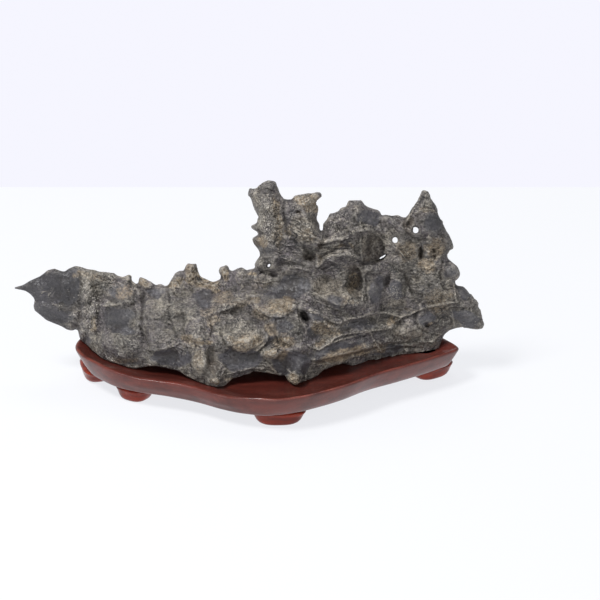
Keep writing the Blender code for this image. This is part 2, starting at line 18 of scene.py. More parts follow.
import bmesh
import bpy
import numpy as np
import openvdb
from mathutils import Matrix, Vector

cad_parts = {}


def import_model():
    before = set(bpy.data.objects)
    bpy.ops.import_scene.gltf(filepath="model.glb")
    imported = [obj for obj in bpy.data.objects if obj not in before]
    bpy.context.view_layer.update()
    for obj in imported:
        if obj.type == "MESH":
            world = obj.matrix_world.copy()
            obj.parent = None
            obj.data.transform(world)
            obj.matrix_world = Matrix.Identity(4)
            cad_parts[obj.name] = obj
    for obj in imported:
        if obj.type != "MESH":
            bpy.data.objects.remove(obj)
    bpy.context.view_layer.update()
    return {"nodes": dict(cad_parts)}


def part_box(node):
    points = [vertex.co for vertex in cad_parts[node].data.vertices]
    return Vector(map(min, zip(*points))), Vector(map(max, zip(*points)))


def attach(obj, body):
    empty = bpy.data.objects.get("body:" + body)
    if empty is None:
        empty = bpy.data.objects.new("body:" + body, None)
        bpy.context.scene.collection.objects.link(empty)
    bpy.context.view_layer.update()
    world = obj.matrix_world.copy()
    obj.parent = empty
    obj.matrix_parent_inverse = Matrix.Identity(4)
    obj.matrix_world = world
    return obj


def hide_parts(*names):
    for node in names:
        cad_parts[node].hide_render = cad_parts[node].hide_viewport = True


LOG = logging.getLogger("scholars_rock")
MM = 0.001
Array = np.ndarray
Line = Sequence[tuple[float, float]]


# ---------------------------------------------------------------- numbers over surfaces


def ease(x: Array) -> Array:
    """A smooth step: 0 below 0, 1 above 1 and 3x^2 - 2x^3 between."""
    x = np.clip(x, 0, 1)
    return x * x * (3 - 2 * x)


def soft_union(a: Array, b: Array, blend: float) -> Array:
    """The lower of two distance fields, rounded where they are within blend of each other.

    Args:
        a: The first field, in millimetres.
        b: The second field.
        blend: How far apart they may be and still be rounded into each other.

    Returns:
        min(a, b) less h^2 blend / 4, where h is the share of the blend that they overlap by.
    """
    overlap = np.clip(1 - np.abs(a - b) / blend, 0, 1)
    return np.minimum(a, b) - overlap * overlap * (blend / 4)


def hashed(i: Array, j: Array, k: Array, seed: int) -> Array:
    """A repeatable random share, 0 to 1, for each whole-number place (i, j, k)."""
    n = i.astype(np.uint32) * np.uint32(374761393)
    n += j.astype(np.uint32) * np.uint32(668265263)
    n += k.astype(np.uint32) * np.uint32(2246822519)
    n += np.uint32(seed * 40503 + 977)
    n = (n ^ (n >> np.uint32(13))) * np.uint32(1274126177)
    n = (n ^ (n >> np.uint32(16))) * np.uint32(2654435761)
    return ((n ^ (n >> np.uint32(15))) & np.uint32(0xFFFF)).astype(np.float32) / 65535


def corners(share: Array) -> Iterator[tuple[list[int], Array]]:
    """Each of the eight corners round places in a lattice, with its weight there.

    Args:
        share: How far across its cell each place is (n, 3), 0 to 1.

    Yields:
        The corner's step along each axis, 0 or 1, and its weight (n,).
    """
    for corner in range(8):
        step = [(corner >> axis) & 1 for axis in range(3)]
        weight = np.ones(len(share), np.float32)
        for axis in range(3):
            weight *= share[:, axis] if step[axis] else 1 - share[:, axis]
        yield step, weight


def lattice_noise(points: Array, size: float, seed: int) -> Array:
    """Smooth noise: random values on a cubic lattice, blended by a quintic step between its corners.

    Args:
        points: Places (n, 3), in millimetres.
        size: The lattice's spacing.
        seed: Which random values.

    Returns:
        Values (n,) from -1 to 1.
    """
    turned = points @ TURN[seed % len(TURN)] / size + 500.0
    cell = np.floor(turned).astype(np.int64)
    f = (turned - cell).astype(np.float32)
    f = f * f * f * (f * (f * 6 - 15) + 10)
    total = np.zeros(len(points), np.float32)
    for step, weight in corners(f):
        total += weight * hashed(*(cell[:, axis] + step[axis] for axis in range(3)), seed)
    return total * 2 - 1


def layered_noise(points: Array, size: float, seed: int, layers: int = 3) -> Array:
    """Lattice noise summed over layers, each half the size and 0.55 the height of the last."""
    total, height, reach = np.zeros(len(points), np.float32), 1.0, 0.0
    for layer in range(layers):
        total += height * lattice_noise(points, size / 2**layer, seed + layer)
        reach += height
        height *= 0.55
    return total / reach


def ridged_noise(points: Array, size: float, seed: int, layers: int = 2) -> Array:
    """1 on sharp creases and 0 between them: 1 - |noise|, squared, in layers."""
    total, height, reach = np.zeros(len(points), np.float32), 1.0, 0.0
    for layer in range(layers):
        total += height * (1 - np.abs(lattice_noise(points, size / 2**layer, seed + layer)) * 1.6).clip(0, 1) ** 2
        reach += height
        height *= 0.5
    return total / reach


def turns(count: int) -> list[Array]:
    """Rotations that set each noise's lattice its own way, so that no two line up."""
    made = []
    for index in range(count):
        euler = [math.radians(angle) for angle in (31.7 * index + 12, 47.3 * index + 29, 63.1 * index + 7)]
        turn = Matrix.Rotation(euler[0], 3, "X") @ Matrix.Rotation(euler[1], 3, "Y") @ Matrix.Rotation(euler[2], 3, "Z")
        made.append(np.array(turn, np.float64))
    return made


TURN = turns(11)


@dataclass
class Chips:
    """Broken stone: space is divided among scattered seeds, and each seed's share is one chip.

    Args:
        points: Places (n, 3), in millimetres.
        size: The seeds' spacing.
        seed: Which random scatter.
        stretch: The space's scale along x, y and z, which draws the chips out.
    """

    points: Array
    size: float
    seed: int
    stretch: tuple[float, float, float] = (1.0, 1.0, 1.0)
    near: Array = field(init=False)
    second: Array = field(init=False)
    tilt: Array = field(init=False)
    share: Array = field(init=False)

    def __post_init__(self) -> None:
        """Finds each place's nearest seed, the second nearest's distance, and its plane's height there."""
        places = self.points @ TURN[self.seed % len(TURN)] if self.stretch == (1.0, 1.0, 1.0) else self.points
        places = places * (1 / np.array(self.stretch)) / self.size + 500.0
        cell = np.floor(places).astype(np.int64)
        count = len(places)
        self.near, self.second = np.full(count, 9.0, np.float32), np.full(count, 9.0, np.float32)
        self.tilt, self.share = np.zeros(count, np.float32), np.zeros(count, np.float32)
        for number in range(27):
            there = cell + np.array([number % 3 - 1, number // 3 % 3 - 1, number // 9 - 1])
            away = [
                there[:, axis] + hashed(*there.T, self.seed + 7 * axis) - places[:, axis] for axis in range(3)
            ]
            distance = np.sqrt(away[0] ** 2 + away[1] ** 2 + away[2] ** 2).astype(np.float32)
            slopes = [hashed(*there.T, self.seed + 31 + 5 * axis) * 2 - 1 for axis in range(3)]
            plane = sum(slopes[axis] * away[axis] for axis in range(3)).astype(np.float32)
            closer = distance < self.near
            self.second = np.where(closer, self.near, np.minimum(self.second, distance))
            self.near = np.where(closer, distance, self.near)
            self.tilt = np.where(closer, plane, self.tilt)
            self.share = np.where(closer, hashed(*there.T, self.seed + 3), self.share)

    def seam(self) -> Array:
        """0 on the line between two chips, rising to 1 inside one."""
        return np.clip((self.second - self.near) * 3, 0, 1)

    def dome(self) -> Array:
        """1 at a chip's seed, falling to 0 at its edge."""
        return np.clip(1 - self.near * 1.25, 0, 1)


# ---------------------------------------------------------------- the front drawing


@dataclass(frozen=True)
class FrontDrawing:
    """The front drawing: a square seen in perspective from above the table, u across it and v down it."""

    rise: float = math.radians(22.0)
    distance: float = 2000.0
    width: float = 600.0
    unit: float = 0.8
    centre_height: float = 65.8

    @property
    def ahead(self) -> Array:
        """The way the eye looks."""
        return np.array([0.0, math.cos(self.rise), -math.sin(self.rise)])

    @property
    def upward(self) -> Array:
        """The drawing's upward direction."""
        return np.array([0.0, math.sin(self.rise), math.cos(self.rise)])

    @property
    def eye(self) -> Array:
        """Where the eye is."""
        return np.array([0.0, 0.0, self.centre_height]) - self.distance * self.ahead

    def depth(self, points: Array) -> Array:
        """How far ahead of the eye points are, in millimetres."""
        return (points - self.eye) @ self.ahead

    def in_view(self, points: Array) -> tuple[Array, Array]:
        """Where points (n, 3) show: u = half the width + x / (depth x slope), and v likewise downwards."""
        far = self.depth(points) * (self.unit / self.distance)
        from_eye = points - self.eye
        return self.width / 2 + from_eye[:, 0] / far, self.width / 2 - from_eye @ self.upward / far

    def depth_of(self, v: Array, y: Array) -> Array:
        """The depth ahead of the eye of the place at y that shows at v.

        Args:
            v: Places down the drawing.
            y: How far away they are, in millimetres.

        Returns:
            (y - eye's y) divided by the sight line's own run along y.
        """
        slope = (self.width / 2 - v) * (self.unit / self.distance)
        return (y - self.eye[1]) / (self.ahead[1] + self.upward[1] * slope)


DRAWING = FrontDrawing()


@dataclass
class Sheet:
    """An even grid over the part of the front drawing that the rock covers, and values on it."""

    low_u: float = 6.0
    low_v: float = 170.0
    high_u: float = 494.0
    high_v: float = 400.0
    step: float = 0.5
    u: Array = field(init=False)
    v: Array = field(init=False)

    def __post_init__(self) -> None:
        """Lays out u and v, one row for each v."""
        across = np.arange(self.low_u, self.high_u + self.step, self.step, dtype=np.float32)
        down = np.arange(self.low_v, self.high_v + self.step, self.step, dtype=np.float32)
        self.u, self.v = np.meshgrid(across, down)

    def at(self, values: Array, u: Array, v: Array) -> Array:
        """The grid's values at places (u, v), straight between its corners.

        Args:
            values: Values on the grid.
            u: Places across, of any shape.
            v: Places down, of the same shape.

        Returns:
            Values of that shape. A place off the grid takes the nearest edge's.
        """
        rows, columns = values.shape
        x = np.clip((u - self.low_u) / self.step, 0, columns - 1.001)
        y = np.clip((v - self.low_v) / self.step, 0, rows - 1.001)
        i, j = x.astype(np.int32), y.astype(np.int32)
        fx, fy = (x - i).astype(np.float32), (y - j).astype(np.float32)
        top = values[j, i] * (1 - fx) + values[j, i + 1] * fx
        bottom = values[j + 1, i] * (1 - fx) + values[j + 1, i + 1] * fx
        return top * (1 - fy) + bottom * fy

    def window(self, low: tuple[float, float], high: tuple[float, float]) -> tuple[slice, slice]:
        """The rows and columns that cover a box of the drawing."""
        rows = [int((value - self.low_v) / self.step) for value in (low[1], high[1])]
        columns = [int((value - self.low_u) / self.step) for value in (low[0], high[0])]
        return slice(max(rows[0], 0), max(rows[1] + 2, 0)), slice(max(columns[0], 0), max(columns[1] + 2, 0))

    def noise(self, size: float, seed: int) -> Array:
        """Smooth noise over the grid, size in the drawing's units."""
        flat = np.stack([self.u.ravel(), self.v.ravel(), np.full(self.u.size, 40.0)], axis=1)
        return lattice_noise(flat, size, seed).reshape(self.u.shape)


def along_line(u: Array, v: Array, line: Line) -> tuple[Array, Array, Array]:
    """Where places of the drawing lie beside a line.

    Args:
        u: Places across.
        v: Places down.
        line: The line's points, left to right.

    Returns:
        How far the line is, whether the place is on its upper side, and how far past its ends it is.
    """
    nearest = np.full(u.shape, 1e6, np.float32)
    above, past = np.zeros(u.shape, bool), np.zeros(u.shape, np.float32)
    for (u0, v0), (u1, v1) in zip(line[:-1], line[1:]):
        length = math.hypot(u1 - u0, v1 - v0)
        ru, rv = (u1 - u0) / length, (v1 - v0) / length
        free = (u - u0) * ru + (v - v0) * rv
        held = np.clip(free, 0, length)
        away = np.hypot(u - u0 - held * ru, v - v0 - held * rv)
        closer = away < nearest
        nearest = np.where(closer, away, nearest)
        above = np.where(closer, (u - u0) * rv - (v - v0) * ru > 0, above)
        past = np.where(closer, np.abs(free - held), past)
    return nearest, above, past


def inside_of(u: Array, v: Array, outline: Line) -> Array:
    """How far inside a closed outline places (u, v) are, and below 0 outside it."""
    closed = [*outline, outline[0]]
    away = along_line(u, v, closed)[0]
    inside = np.zeros(u.shape, bool)
    for (u0, v0), (u1, v1) in zip(closed[:-1], closed[1:]):
        if v0 != v1:
            spans = (v >= min(v0, v1)) & (v < max(v0, v1))
            inside ^= spans & (u > u0 + (v - v0) * (u1 - u0) / (v1 - v0))
    return np.where(inside, away, -away)


class Mark(Enum):
    """What a form of the drawing does to the stone's face."""

    BOSS = "stands out with a flat top"
    DOME = "stands out as a dome"
    HOLLOW = "goes in as a bowl"
    LEDGE = "comes forward to a line and drops back below it"
    RIB = "stands out along a line"
    GROOVE = "goes in along a line"


@dataclass(frozen=True)
class Spot:
    """A tilted ellipse of the drawing: its middle, half width, half height, tilt in degrees and amount."""

    u: float
    v: float
    half_width: float
    half_height: float
    tilt: float
    amount: float
    mark: Mark = Mark.DOME

    def radius(self, u: Array, v: Array) -> Array:
        """How far out places (u, v) are: 1 on the ellipse."""
        turn = math.radians(self.tilt)
        du, dv = u - self.u, v - self.v
        along = (du * math.cos(turn) + dv * math.sin(turn)) / self.half_width
        over = (-du * math.sin(turn) + dv * math.cos(turn)) / self.half_height
        return np.hypot(along, over)

    def spread(self, sheet: Sheet, u: Array, v: Array, soft: float) -> tuple[tuple[slice, slice], Array]:
        """The spot's share over the sheet.

        Args:
            sheet: The sheet.
            u: The sheet's places across, as they are bent.
            v: Its places down.
            soft: The part of the radius over which the share eases from 1 to 0.

        Returns:
            The window of the sheet that it covers, and its share there, 0 to 1.
        """
        reach = 1.25 * max(self.half_width, self.half_height) + 4
        window = sheet.window((self.u - reach, self.v - reach), (self.u + reach, self.v + reach))
        return window, ease((1 - self.radius(u[window], v[window])) / soft + 0.35)

    def relief(self, sheet: Sheet, u: Array, v: Array) -> tuple[tuple[slice, slice], Array]:
        """The window that the spot covers and how far the face stands out there, in millimetres."""
        soft = {Mark.BOSS: 0.35, Mark.DOME: 1.3, Mark.HOLLOW: 0.9}[self.mark]
        window, share = self.spread(sheet, u, v, soft)
        return window, share * (-self.amount if self.mark is Mark.HOLLOW else self.amount)


@dataclass(frozen=True)
class Stroke:
    """A line of the drawing: its width in view units, its height in millimetres, how much pale mineral
    shows along it, what it does to the face, and its points."""

    width: float
    amount: float
    pale: float
    mark: Mark
    line: Line

    def window(self, sheet: Sheet, reach: float) -> tuple[slice, slice]:
        """The window of the sheet within reach of the line."""
        line = np.array(self.line)
        return sheet.window(line.min(axis=0) - reach, line.max(axis=0) + reach)

    def relief(self, sheet: Sheet, u: Array, v: Array) -> tuple[tuple[slice, slice], Array]:
        """The window that the stroke covers and how far the face stands out there, in millimetres."""
        window = self.window(sheet, 2.5 * self.width + 2)
        away, above, past = along_line(u[window], v[window], self.line)
        if self.mark is Mark.LEDGE:
            rise = np.where(above, np.clip(1 - away / self.width, 0, 1), ease(1 - away / 1.5))
            return window, 0.85 * self.amount * rise * ease(1 - past / self.width)
        share = np.exp(-((away / self.width) ** 2))
        return window, share * (-0.7 * self.amount if self.mark is Mark.GROOVE else self.amount)

    def vein(self, sheet: Sheet, u: Array, v: Array) -> tuple[tuple[slice, slice], Array]:
        """The window that the stroke covers and its pale mineral's share there."""
        window = self.window(sheet, 3)
        away = along_line(u[window], v[window], self.line)[0]
        return window, self.pale * np.exp(-((away / 0.68) ** 2))


# ---------------------------------------------------------------- the rock's forms

SKYLINE: Line = (
    (14, 288), (23, 285.8), (30, 281.5), (40, 277), (46, 273), (47, 271.5), (55, 269.5), (58, 271), (65, 272.5),
    (69, 269), (73, 267.3), (76, 266.8), (80, 267.3), (88, 270), (95, 270.5), (98, 272), (105, 272.5),
    (114, 273.5), (117, 276), (123, 278), (128, 275.5), (131, 275.5), (131, 281), (136, 285), (139, 283),
    (140, 277), (148, 281), (152, 283), (156, 286), (160, 284), (165, 286.5), (168, 286), (170, 283),
    (173, 278), (176, 273), (180, 271), (184, 271.5), (186, 267), (187.5, 264), (192, 264.5), (196, 264),
    (197, 270), (200, 277), (206, 279.5), (213, 282.5), (218, 281), (221, 279), (221.5, 276), (219.5, 271),
    (220, 268), (222, 267), (224, 267.5), (225.5, 265), (228, 267), (229, 271), (233, 272), (236, 270),
    (239, 268.5), (242, 268), (245, 270), (247, 271), (250, 270), (254, 269), (256, 268.5), (255.5, 264),
    (257, 260.5), (259, 259), (261, 256), (261, 254), (259.5, 250), (258, 248), (254, 243), (253, 238),
    (255, 237.5), (259, 235), (259, 231), (256, 230.5), (252, 228), (251.5, 226), (254, 225), (257, 224),
    (258, 220), (260, 218), (257, 213), (254, 207), (252.5, 200), (251, 197), (248.5, 195.5), (249, 192),
    (250, 188.5), (253, 189.5), (257, 189), (259, 186), (263, 183), (268, 181), (273, 181.5), (275, 182),
    (277, 187), (280, 195), (283, 199), (287, 200.5), (292, 200), (295, 196), (301, 195), (306, 194),
    (312, 194), (317, 193), (320, 193), (321.5, 196), (319, 198), (316, 200.5), (314, 204.5), (317, 206),
    (318, 210), (316, 217), (316.5, 221), (319, 226), (318.5, 229), (320.5, 232), (323, 231), (324, 228),
    (323.5, 225), (326, 221), (329, 217), (330, 214), (334, 213.5), (339, 212), (342, 208), (346, 208),
    (348.5, 203), (349, 201), (361, 201), (364, 205.5), (368, 207.5), (373, 209.5), (377, 210), (380, 213),
    (381, 218), (383, 216), (386, 215.5), (392, 216.5), (398, 215.5), (401, 217.5), (406, 218.5), (409, 215),
    (412, 209), (417, 203), (420, 198), (422, 192), (423.5, 190.5), (428, 192), (430, 199), (435, 205),
    (437, 209), (437, 213), (440, 220), (444, 228), (449, 236), (452, 243), (453, 248), (449, 250),
    (448, 253), (446, 254), (447, 259), (451, 262), (456, 266), (459, 271), (459, 276), (457, 279),
    (454, 280), (455, 285), (458, 286.5), (463, 287), (467, 291), (471, 297), (475, 301), (478, 305),
    (477.5, 307), (480, 310), (481.5, 317), (482, 320), (484, 324), (482, 328), (477, 329), (470, 328),
    (464, 326.5), (456, 327.5), (450, 329.5), (445, 333), (441.5, 338.5),
)
UNDERSIDE: Line = (
    (436, 347), (430, 350), (420, 351), (410, 352.5), (400, 354.5), (390, 356.5), (380, 357), (372, 358.5),
    (367, 361), (360, 362), (352, 364), (347, 367), (342, 367), (335, 365.5), (330, 365.5), (325, 367),
    (321, 370), (318, 374), (316, 379), (313, 380), (308, 380), (303, 381), (300, 384.5), (295, 385),
    (290, 384.5), (286, 383), (282, 380.2), (276, 379.6), (268, 376.4), (262, 374.6), (256, 374.6), (248, 377),
    (240, 380.4), (231, 385), (224, 385), (218, 388), (213, 388.5), (209, 387.5), (204, 384), (197, 380),
    (190, 377), (180, 373), (172, 370), (165, 368), (158, 365.5), (148, 365.5), (140, 367), (130, 368),
    (118, 367), (110, 365), (103, 358), (97, 353), (93, 350), (88, 345), (80, 338), (79, 330), (76, 328.5),
    (71, 330), (67, 329), (60, 325), (55, 323), (47, 320), (40, 314), (35, 310), (34, 306), (35.5, 301),
    (34, 297), (30, 293), (26, 290.4), (22, 289.4),
)
# Bores through the thin walls: half width and half height in view units.
BORES = (
    Spot(395, 240, 2.7, 2.9, 0, 1), Spot(415.5, 230, 2.9, 3.2, -20, 1), Spot(383, 257, 1.5, 4.8, 50, 1),
    Spot(269, 265.5, 1.5, 2.4, 40, 1),
)
# The skyline's wall from left to right: u, the y of its middle and half its greatest thickness.
WALL = (
    (13, 6, 6), (60, 2, 7), (90, -3, 8), (110, -8, 9), (200, -14, 9), (245, -20, 9), (262, -26, 12),
    (288, -29, 12), (322, -27, 9), (345, -19, 9), (400, -8, 8), (430, -3, 7), (460, 2, 8), (485, 8, 7),
)
WALL_EDGE = 1.3  # half its thickness at its outline
WALL_RISE = 11.0  # view units in from the outline over which it thickens

B, D, H = Mark.BOSS, Mark.DOME, Mark.HOLLOW
# u, v, half width, half height, tilt, millimetres and mark.
FACE_SPOTS = (
    # The wing, the crystals at its root and the left end of the body.
    (50, 297, 16, 9, -20, 1.3, H), (71, 287, 5, 16, -4, 1.6, H), (55, 308, 18, 4, 10, 0.8, D),
    (74, 317, 5, 5, 0, 1.9, D), (70, 325, 5, 3, 10, 1.4, D), (86, 287, 4, 4, 0, 2.7, D),
    (90, 292, 3, 4, 30, 2.4, D), (86, 299.5, 4, 4.5, 0, 3.3, B), (95, 300, 3, 4, 0, 2.4, D),
    (84.5, 310, 3.5, 4.5, 0, 2.7, D), (94, 311, 3.5, 5, 0, 3.2, B), (102, 310, 2.6, 5, 0, 2.1, D),
    (85, 323, 4, 5, 0, 3.2, D), (94.5, 325, 3.5, 7, 0, 3.3, B), (84, 330, 3, 2.5, 0, 2.1, D),
    (87, 342, 5.5, 7, 0, 1.3, H), (75, 278.5, 3.5, 3.5, 30, 1.3, B), (58, 275, 4, 3, 0, 1, B),
    (112, 300, 6, 4, 0, 1.3, H), (128, 294, 11, 8, 0, 1.1, D), (119, 319, 17, 12, 4, 1, H),
    (119, 342, 22, 14, 6, 0.5, B), (130, 364, 16, 4, 0, 0.8, H), (146, 283, 7, 5, 10, 1.8, B),
    (134, 283, 4, 2.5, 30, 1.1, B), (155, 306, 12, 14, 0, 0.9, D), (155, 305, 5, 6, 0, 1.3, H),
    (182, 318, 7, 6, 0, 1.4, H), (157, 335, 11, 10, 0, 0.4, D), (168, 359, 18, 8, 4, 0.8, H),
    (109, 357, 5, 3, 20, 0.8, D),
    # The crest from the first peak to the tower's foot.
    (178, 276, 5, 4, 0, 1.3, B), (191, 272, 5, 8, 0, 1.6, D), (206, 294, 10, 6, -10, 0.9, H),
    (203, 302, 9, 6, 0, 1, H), (224, 273, 4, 5, 0, 1.4, D), (241, 273.5, 5.5, 4.5, 0, 1.9, D),
    (252, 275, 4, 3, 0, 1.3, D), (259.5, 263, 4, 4.5, 20, 1.6, B), (216, 288, 4, 3, 0, 1.1, D),
    (224, 298, 8, 7, 0, 1, D), (252.5, 297.5, 3.5, 2.5, 0, 1.4, D), (255, 302, 3, 2.5, 0, 1.1, D),
    (261, 272.5, 2.6, 2.2, 0, 3.2, H), (272.5, 274.5, 4, 2.2, 15, 3.6, H), (245, 289, 9, 4, 10, 1.1, H),
    # The round lobe, the crystal cluster, the bowl and the crust to its right.
    (199, 330, 14, 13, 10, 1.5, B), (197.5, 328, 3, 4, 0, 1, D), (208, 331, 6, 7, 0, 0.8, H),
    (243, 322, 7, 5, 20, 3.2, D), (237, 329, 5, 4, 0, 1.9, D), (231, 319, 4, 4, 0, 1.4, D),
    (249, 328, 4, 3, 0, 1.4, D), (256, 320, 6, 4, 25, 1.8, H), (228, 338, 4, 5, 0, 1.8, D),
    (246, 341, 15, 7, -8, 2.2, D), (240, 358, 20, 8, 4, 1.1, H), (271, 352, 8, 5, -20, 1.9, B),
    (273, 304, 7, 6, 0, 1.4, D), (284, 301, 6, 6, 10, 1.8, D), (292, 306, 5, 5, 0, 2.1, B),
    (281, 313, 5, 4, 0, 1.1, D), (266, 308, 6, 5, 0, 1.1, D), (271, 330, 5, 9, 30, 1.6, H),
    (283, 324, 9, 5, 15, 1.4, H), (288, 341, 5, 2.5, 15, 1.6, B), (278, 335, 6, 3, -15, 1.3, B),
    (292, 362, 15, 9, 0, 1, H), (198, 362, 6, 12, 12, 1.9, D), (211, 361, 4, 13, -8, 1.8, H),
    (217, 380.5, 4.5, 4, 0, 1.9, D), (229, 377, 3, 2.5, 0, 1.1, D), (294, 380, 7, 4, 0, 2.1, B),
    (303, 376, 4, 4, 0, 1.1, D),
    # The tower and the plane across its shoulder.
    (267, 186, 8, 3.4, -12, 1.4, B), (253.5, 193, 4, 4, 0, 1.4, D), (255, 228, 3, 2.4, 0, 1.4, D),
    (256, 241, 3, 2.4, 0, 1.4, D), (262, 249, 4, 3, 0, 1.4, D), (268, 213, 8, 9, 0, 1.1, D),
    (272, 234, 5, 7, 0, 1.1, D), (262, 236, 4, 5, 0, 1, H), (309, 203, 6, 4, -10, 1.8, B),
    (317, 196, 5, 2.2, -8, 1.1, B), (298.5, 211, 5, 4, 0, 1.4, D), (298.5, 213, 2.6, 2.2, 0, 5, H),
    (310.5, 215, 2.4, 2.4, 0, 1.3, D), (313, 220, 5, 8, -20, 1.2, H), (303, 230, 13, 7, 38, 1.9, B),
    (309, 256.5, 5, 5.5, 0, 5.5, H), (318, 259, 2.6, 6.5, 0, 2.1, B), (321, 245, 4.5, 5, 0, 3.6, H),
    (322, 267, 5, 3, -20, 3, H), (289, 263, 16, 3, 6, 1.3, H), (289, 281, 13, 10, 0, 1, H),
    (298, 251, 7, 3, 20, 1.1, B), (305, 317, 3.2, 6.4, -28, 7, H), (316, 318.5, 9, 4.2, 14, 1.6, B),
    # The middle peak, the shell hollow and the bowl under it.
    (356, 204.5, 6.5, 3.4, 0, 1.6, B), (332, 221, 5, 5, 0, 1.6, D), (341, 216, 4, 5, 0, 1.6, D),
    (335, 229, 6, 4, 0, 1.4, D), (347, 223, 5, 6, 0, 1.1, D), (369, 218, 10, 7, 10, 1.1, H),
    (375, 247, 10.5, 14, 12, 6, H), (367, 247, 4, 13, 4, 2.1, H), (364, 261.5, 4.5, 3, -15, 2.1, H),
    (341, 248, 3.5, 2.6, 0, 1.4, D), (350, 246.5, 3, 3, 0, 1.4, D), (331, 248, 7, 3, -6, 1.6, H),
    (345, 242, 6, 2.6, -14, 1.1, H), (335, 262, 9, 2.4, -10, 1.3, H), (354, 276, 8.5, 11, 6, 4.2, H),
    (349, 297, 11, 9, 6, 1.9, D), (349, 309, 9, 2.4, 4, 1.6, H), (368, 267, 4.5, 3.5, 0, 1.8, B),
    (375, 270, 3.5, 3.5, 0, 1.4, D), (376, 289, 7.5, 12, 12, 3, D), (396, 292, 8, 13, 8, 2.2, D),
    (399, 281, 4, 3, 0, 1.4, D), (387, 281, 2.6, 9, 12, 3.2, H), (409, 285, 2.4, 10, -18, 2.1, H),
    (325, 285, 11, 9, 0, 0.8, H), (332, 328, 7, 3.4, 8, 1.8, B), (312, 334, 8, 5, 20, 1.3, H),
    # The right peak, the slots under it and the right end.
    (410, 222, 3, 7, 30, 1.9, H), (432, 223, 8, 7, 20, 1.3, H), (430, 240, 2.8, 5, -10, 1.8, D),
    (443, 241, 4, 6, -20, 1.4, D), (427, 204, 5, 6, 0, 0.8, B), (421.3, 253, 2, 6.4, 0, 6, H),
    (435, 251, 2, 2.2, 0, 4.4, H), (435, 256.6, 2.2, 2, 0, 4, H), (428, 256, 3.6, 8, 0, 1.1, D),
    (395, 250, 4, 4, 0, 1, D), (396, 261, 5, 4, 0, 1.3, D), (406, 266, 6, 5, 0, 1.1, D),
    (420, 270, 8, 5, 0, 1, D), (451, 271, 6.5, 5.5, 25, 1.9, B), (450.5, 281, 3.4, 2.4, 10, 1.3, B),
    (463, 293, 7, 6, 35, 1.9, B), (447, 293, 5, 5, 20, 1.1, D), (430, 295, 12, 6, 0, 1, D),
    (427, 318, 9, 7, -14, 1.9, D), (427, 325.5, 3, 1.8, 20, 4, H), (443, 317, 8, 6, 0, 1.4, H),
    (467, 317, 13, 6, 20, 1.1, H), (476, 309, 3, 3, 0, 1.1, D), (481, 325, 3.4, 3.4, 0, 1.3, D),
    (408, 333, 12, 8, 0, 1, D), (396.5, 342.5, 4.5, 1.5, 0, 1.4, B), (396.5, 346.5, 6, 2.2, 0, 3.6, H),
    (393, 323, 5, 5, 0, 1.3, D), (345, 347, 17, 4, -12, 0.8, H), (390, 337, 9, 4, -5, 0.8, H),
    (357, 341, 10, 3, -12, 1, B), (338, 360, 14, 3, -12, 1, B), (427, 340, 9, 4, -20, 1, B),
)
L, R, G = Mark.LEDGE, Mark.RIB, Mark.GROOVE
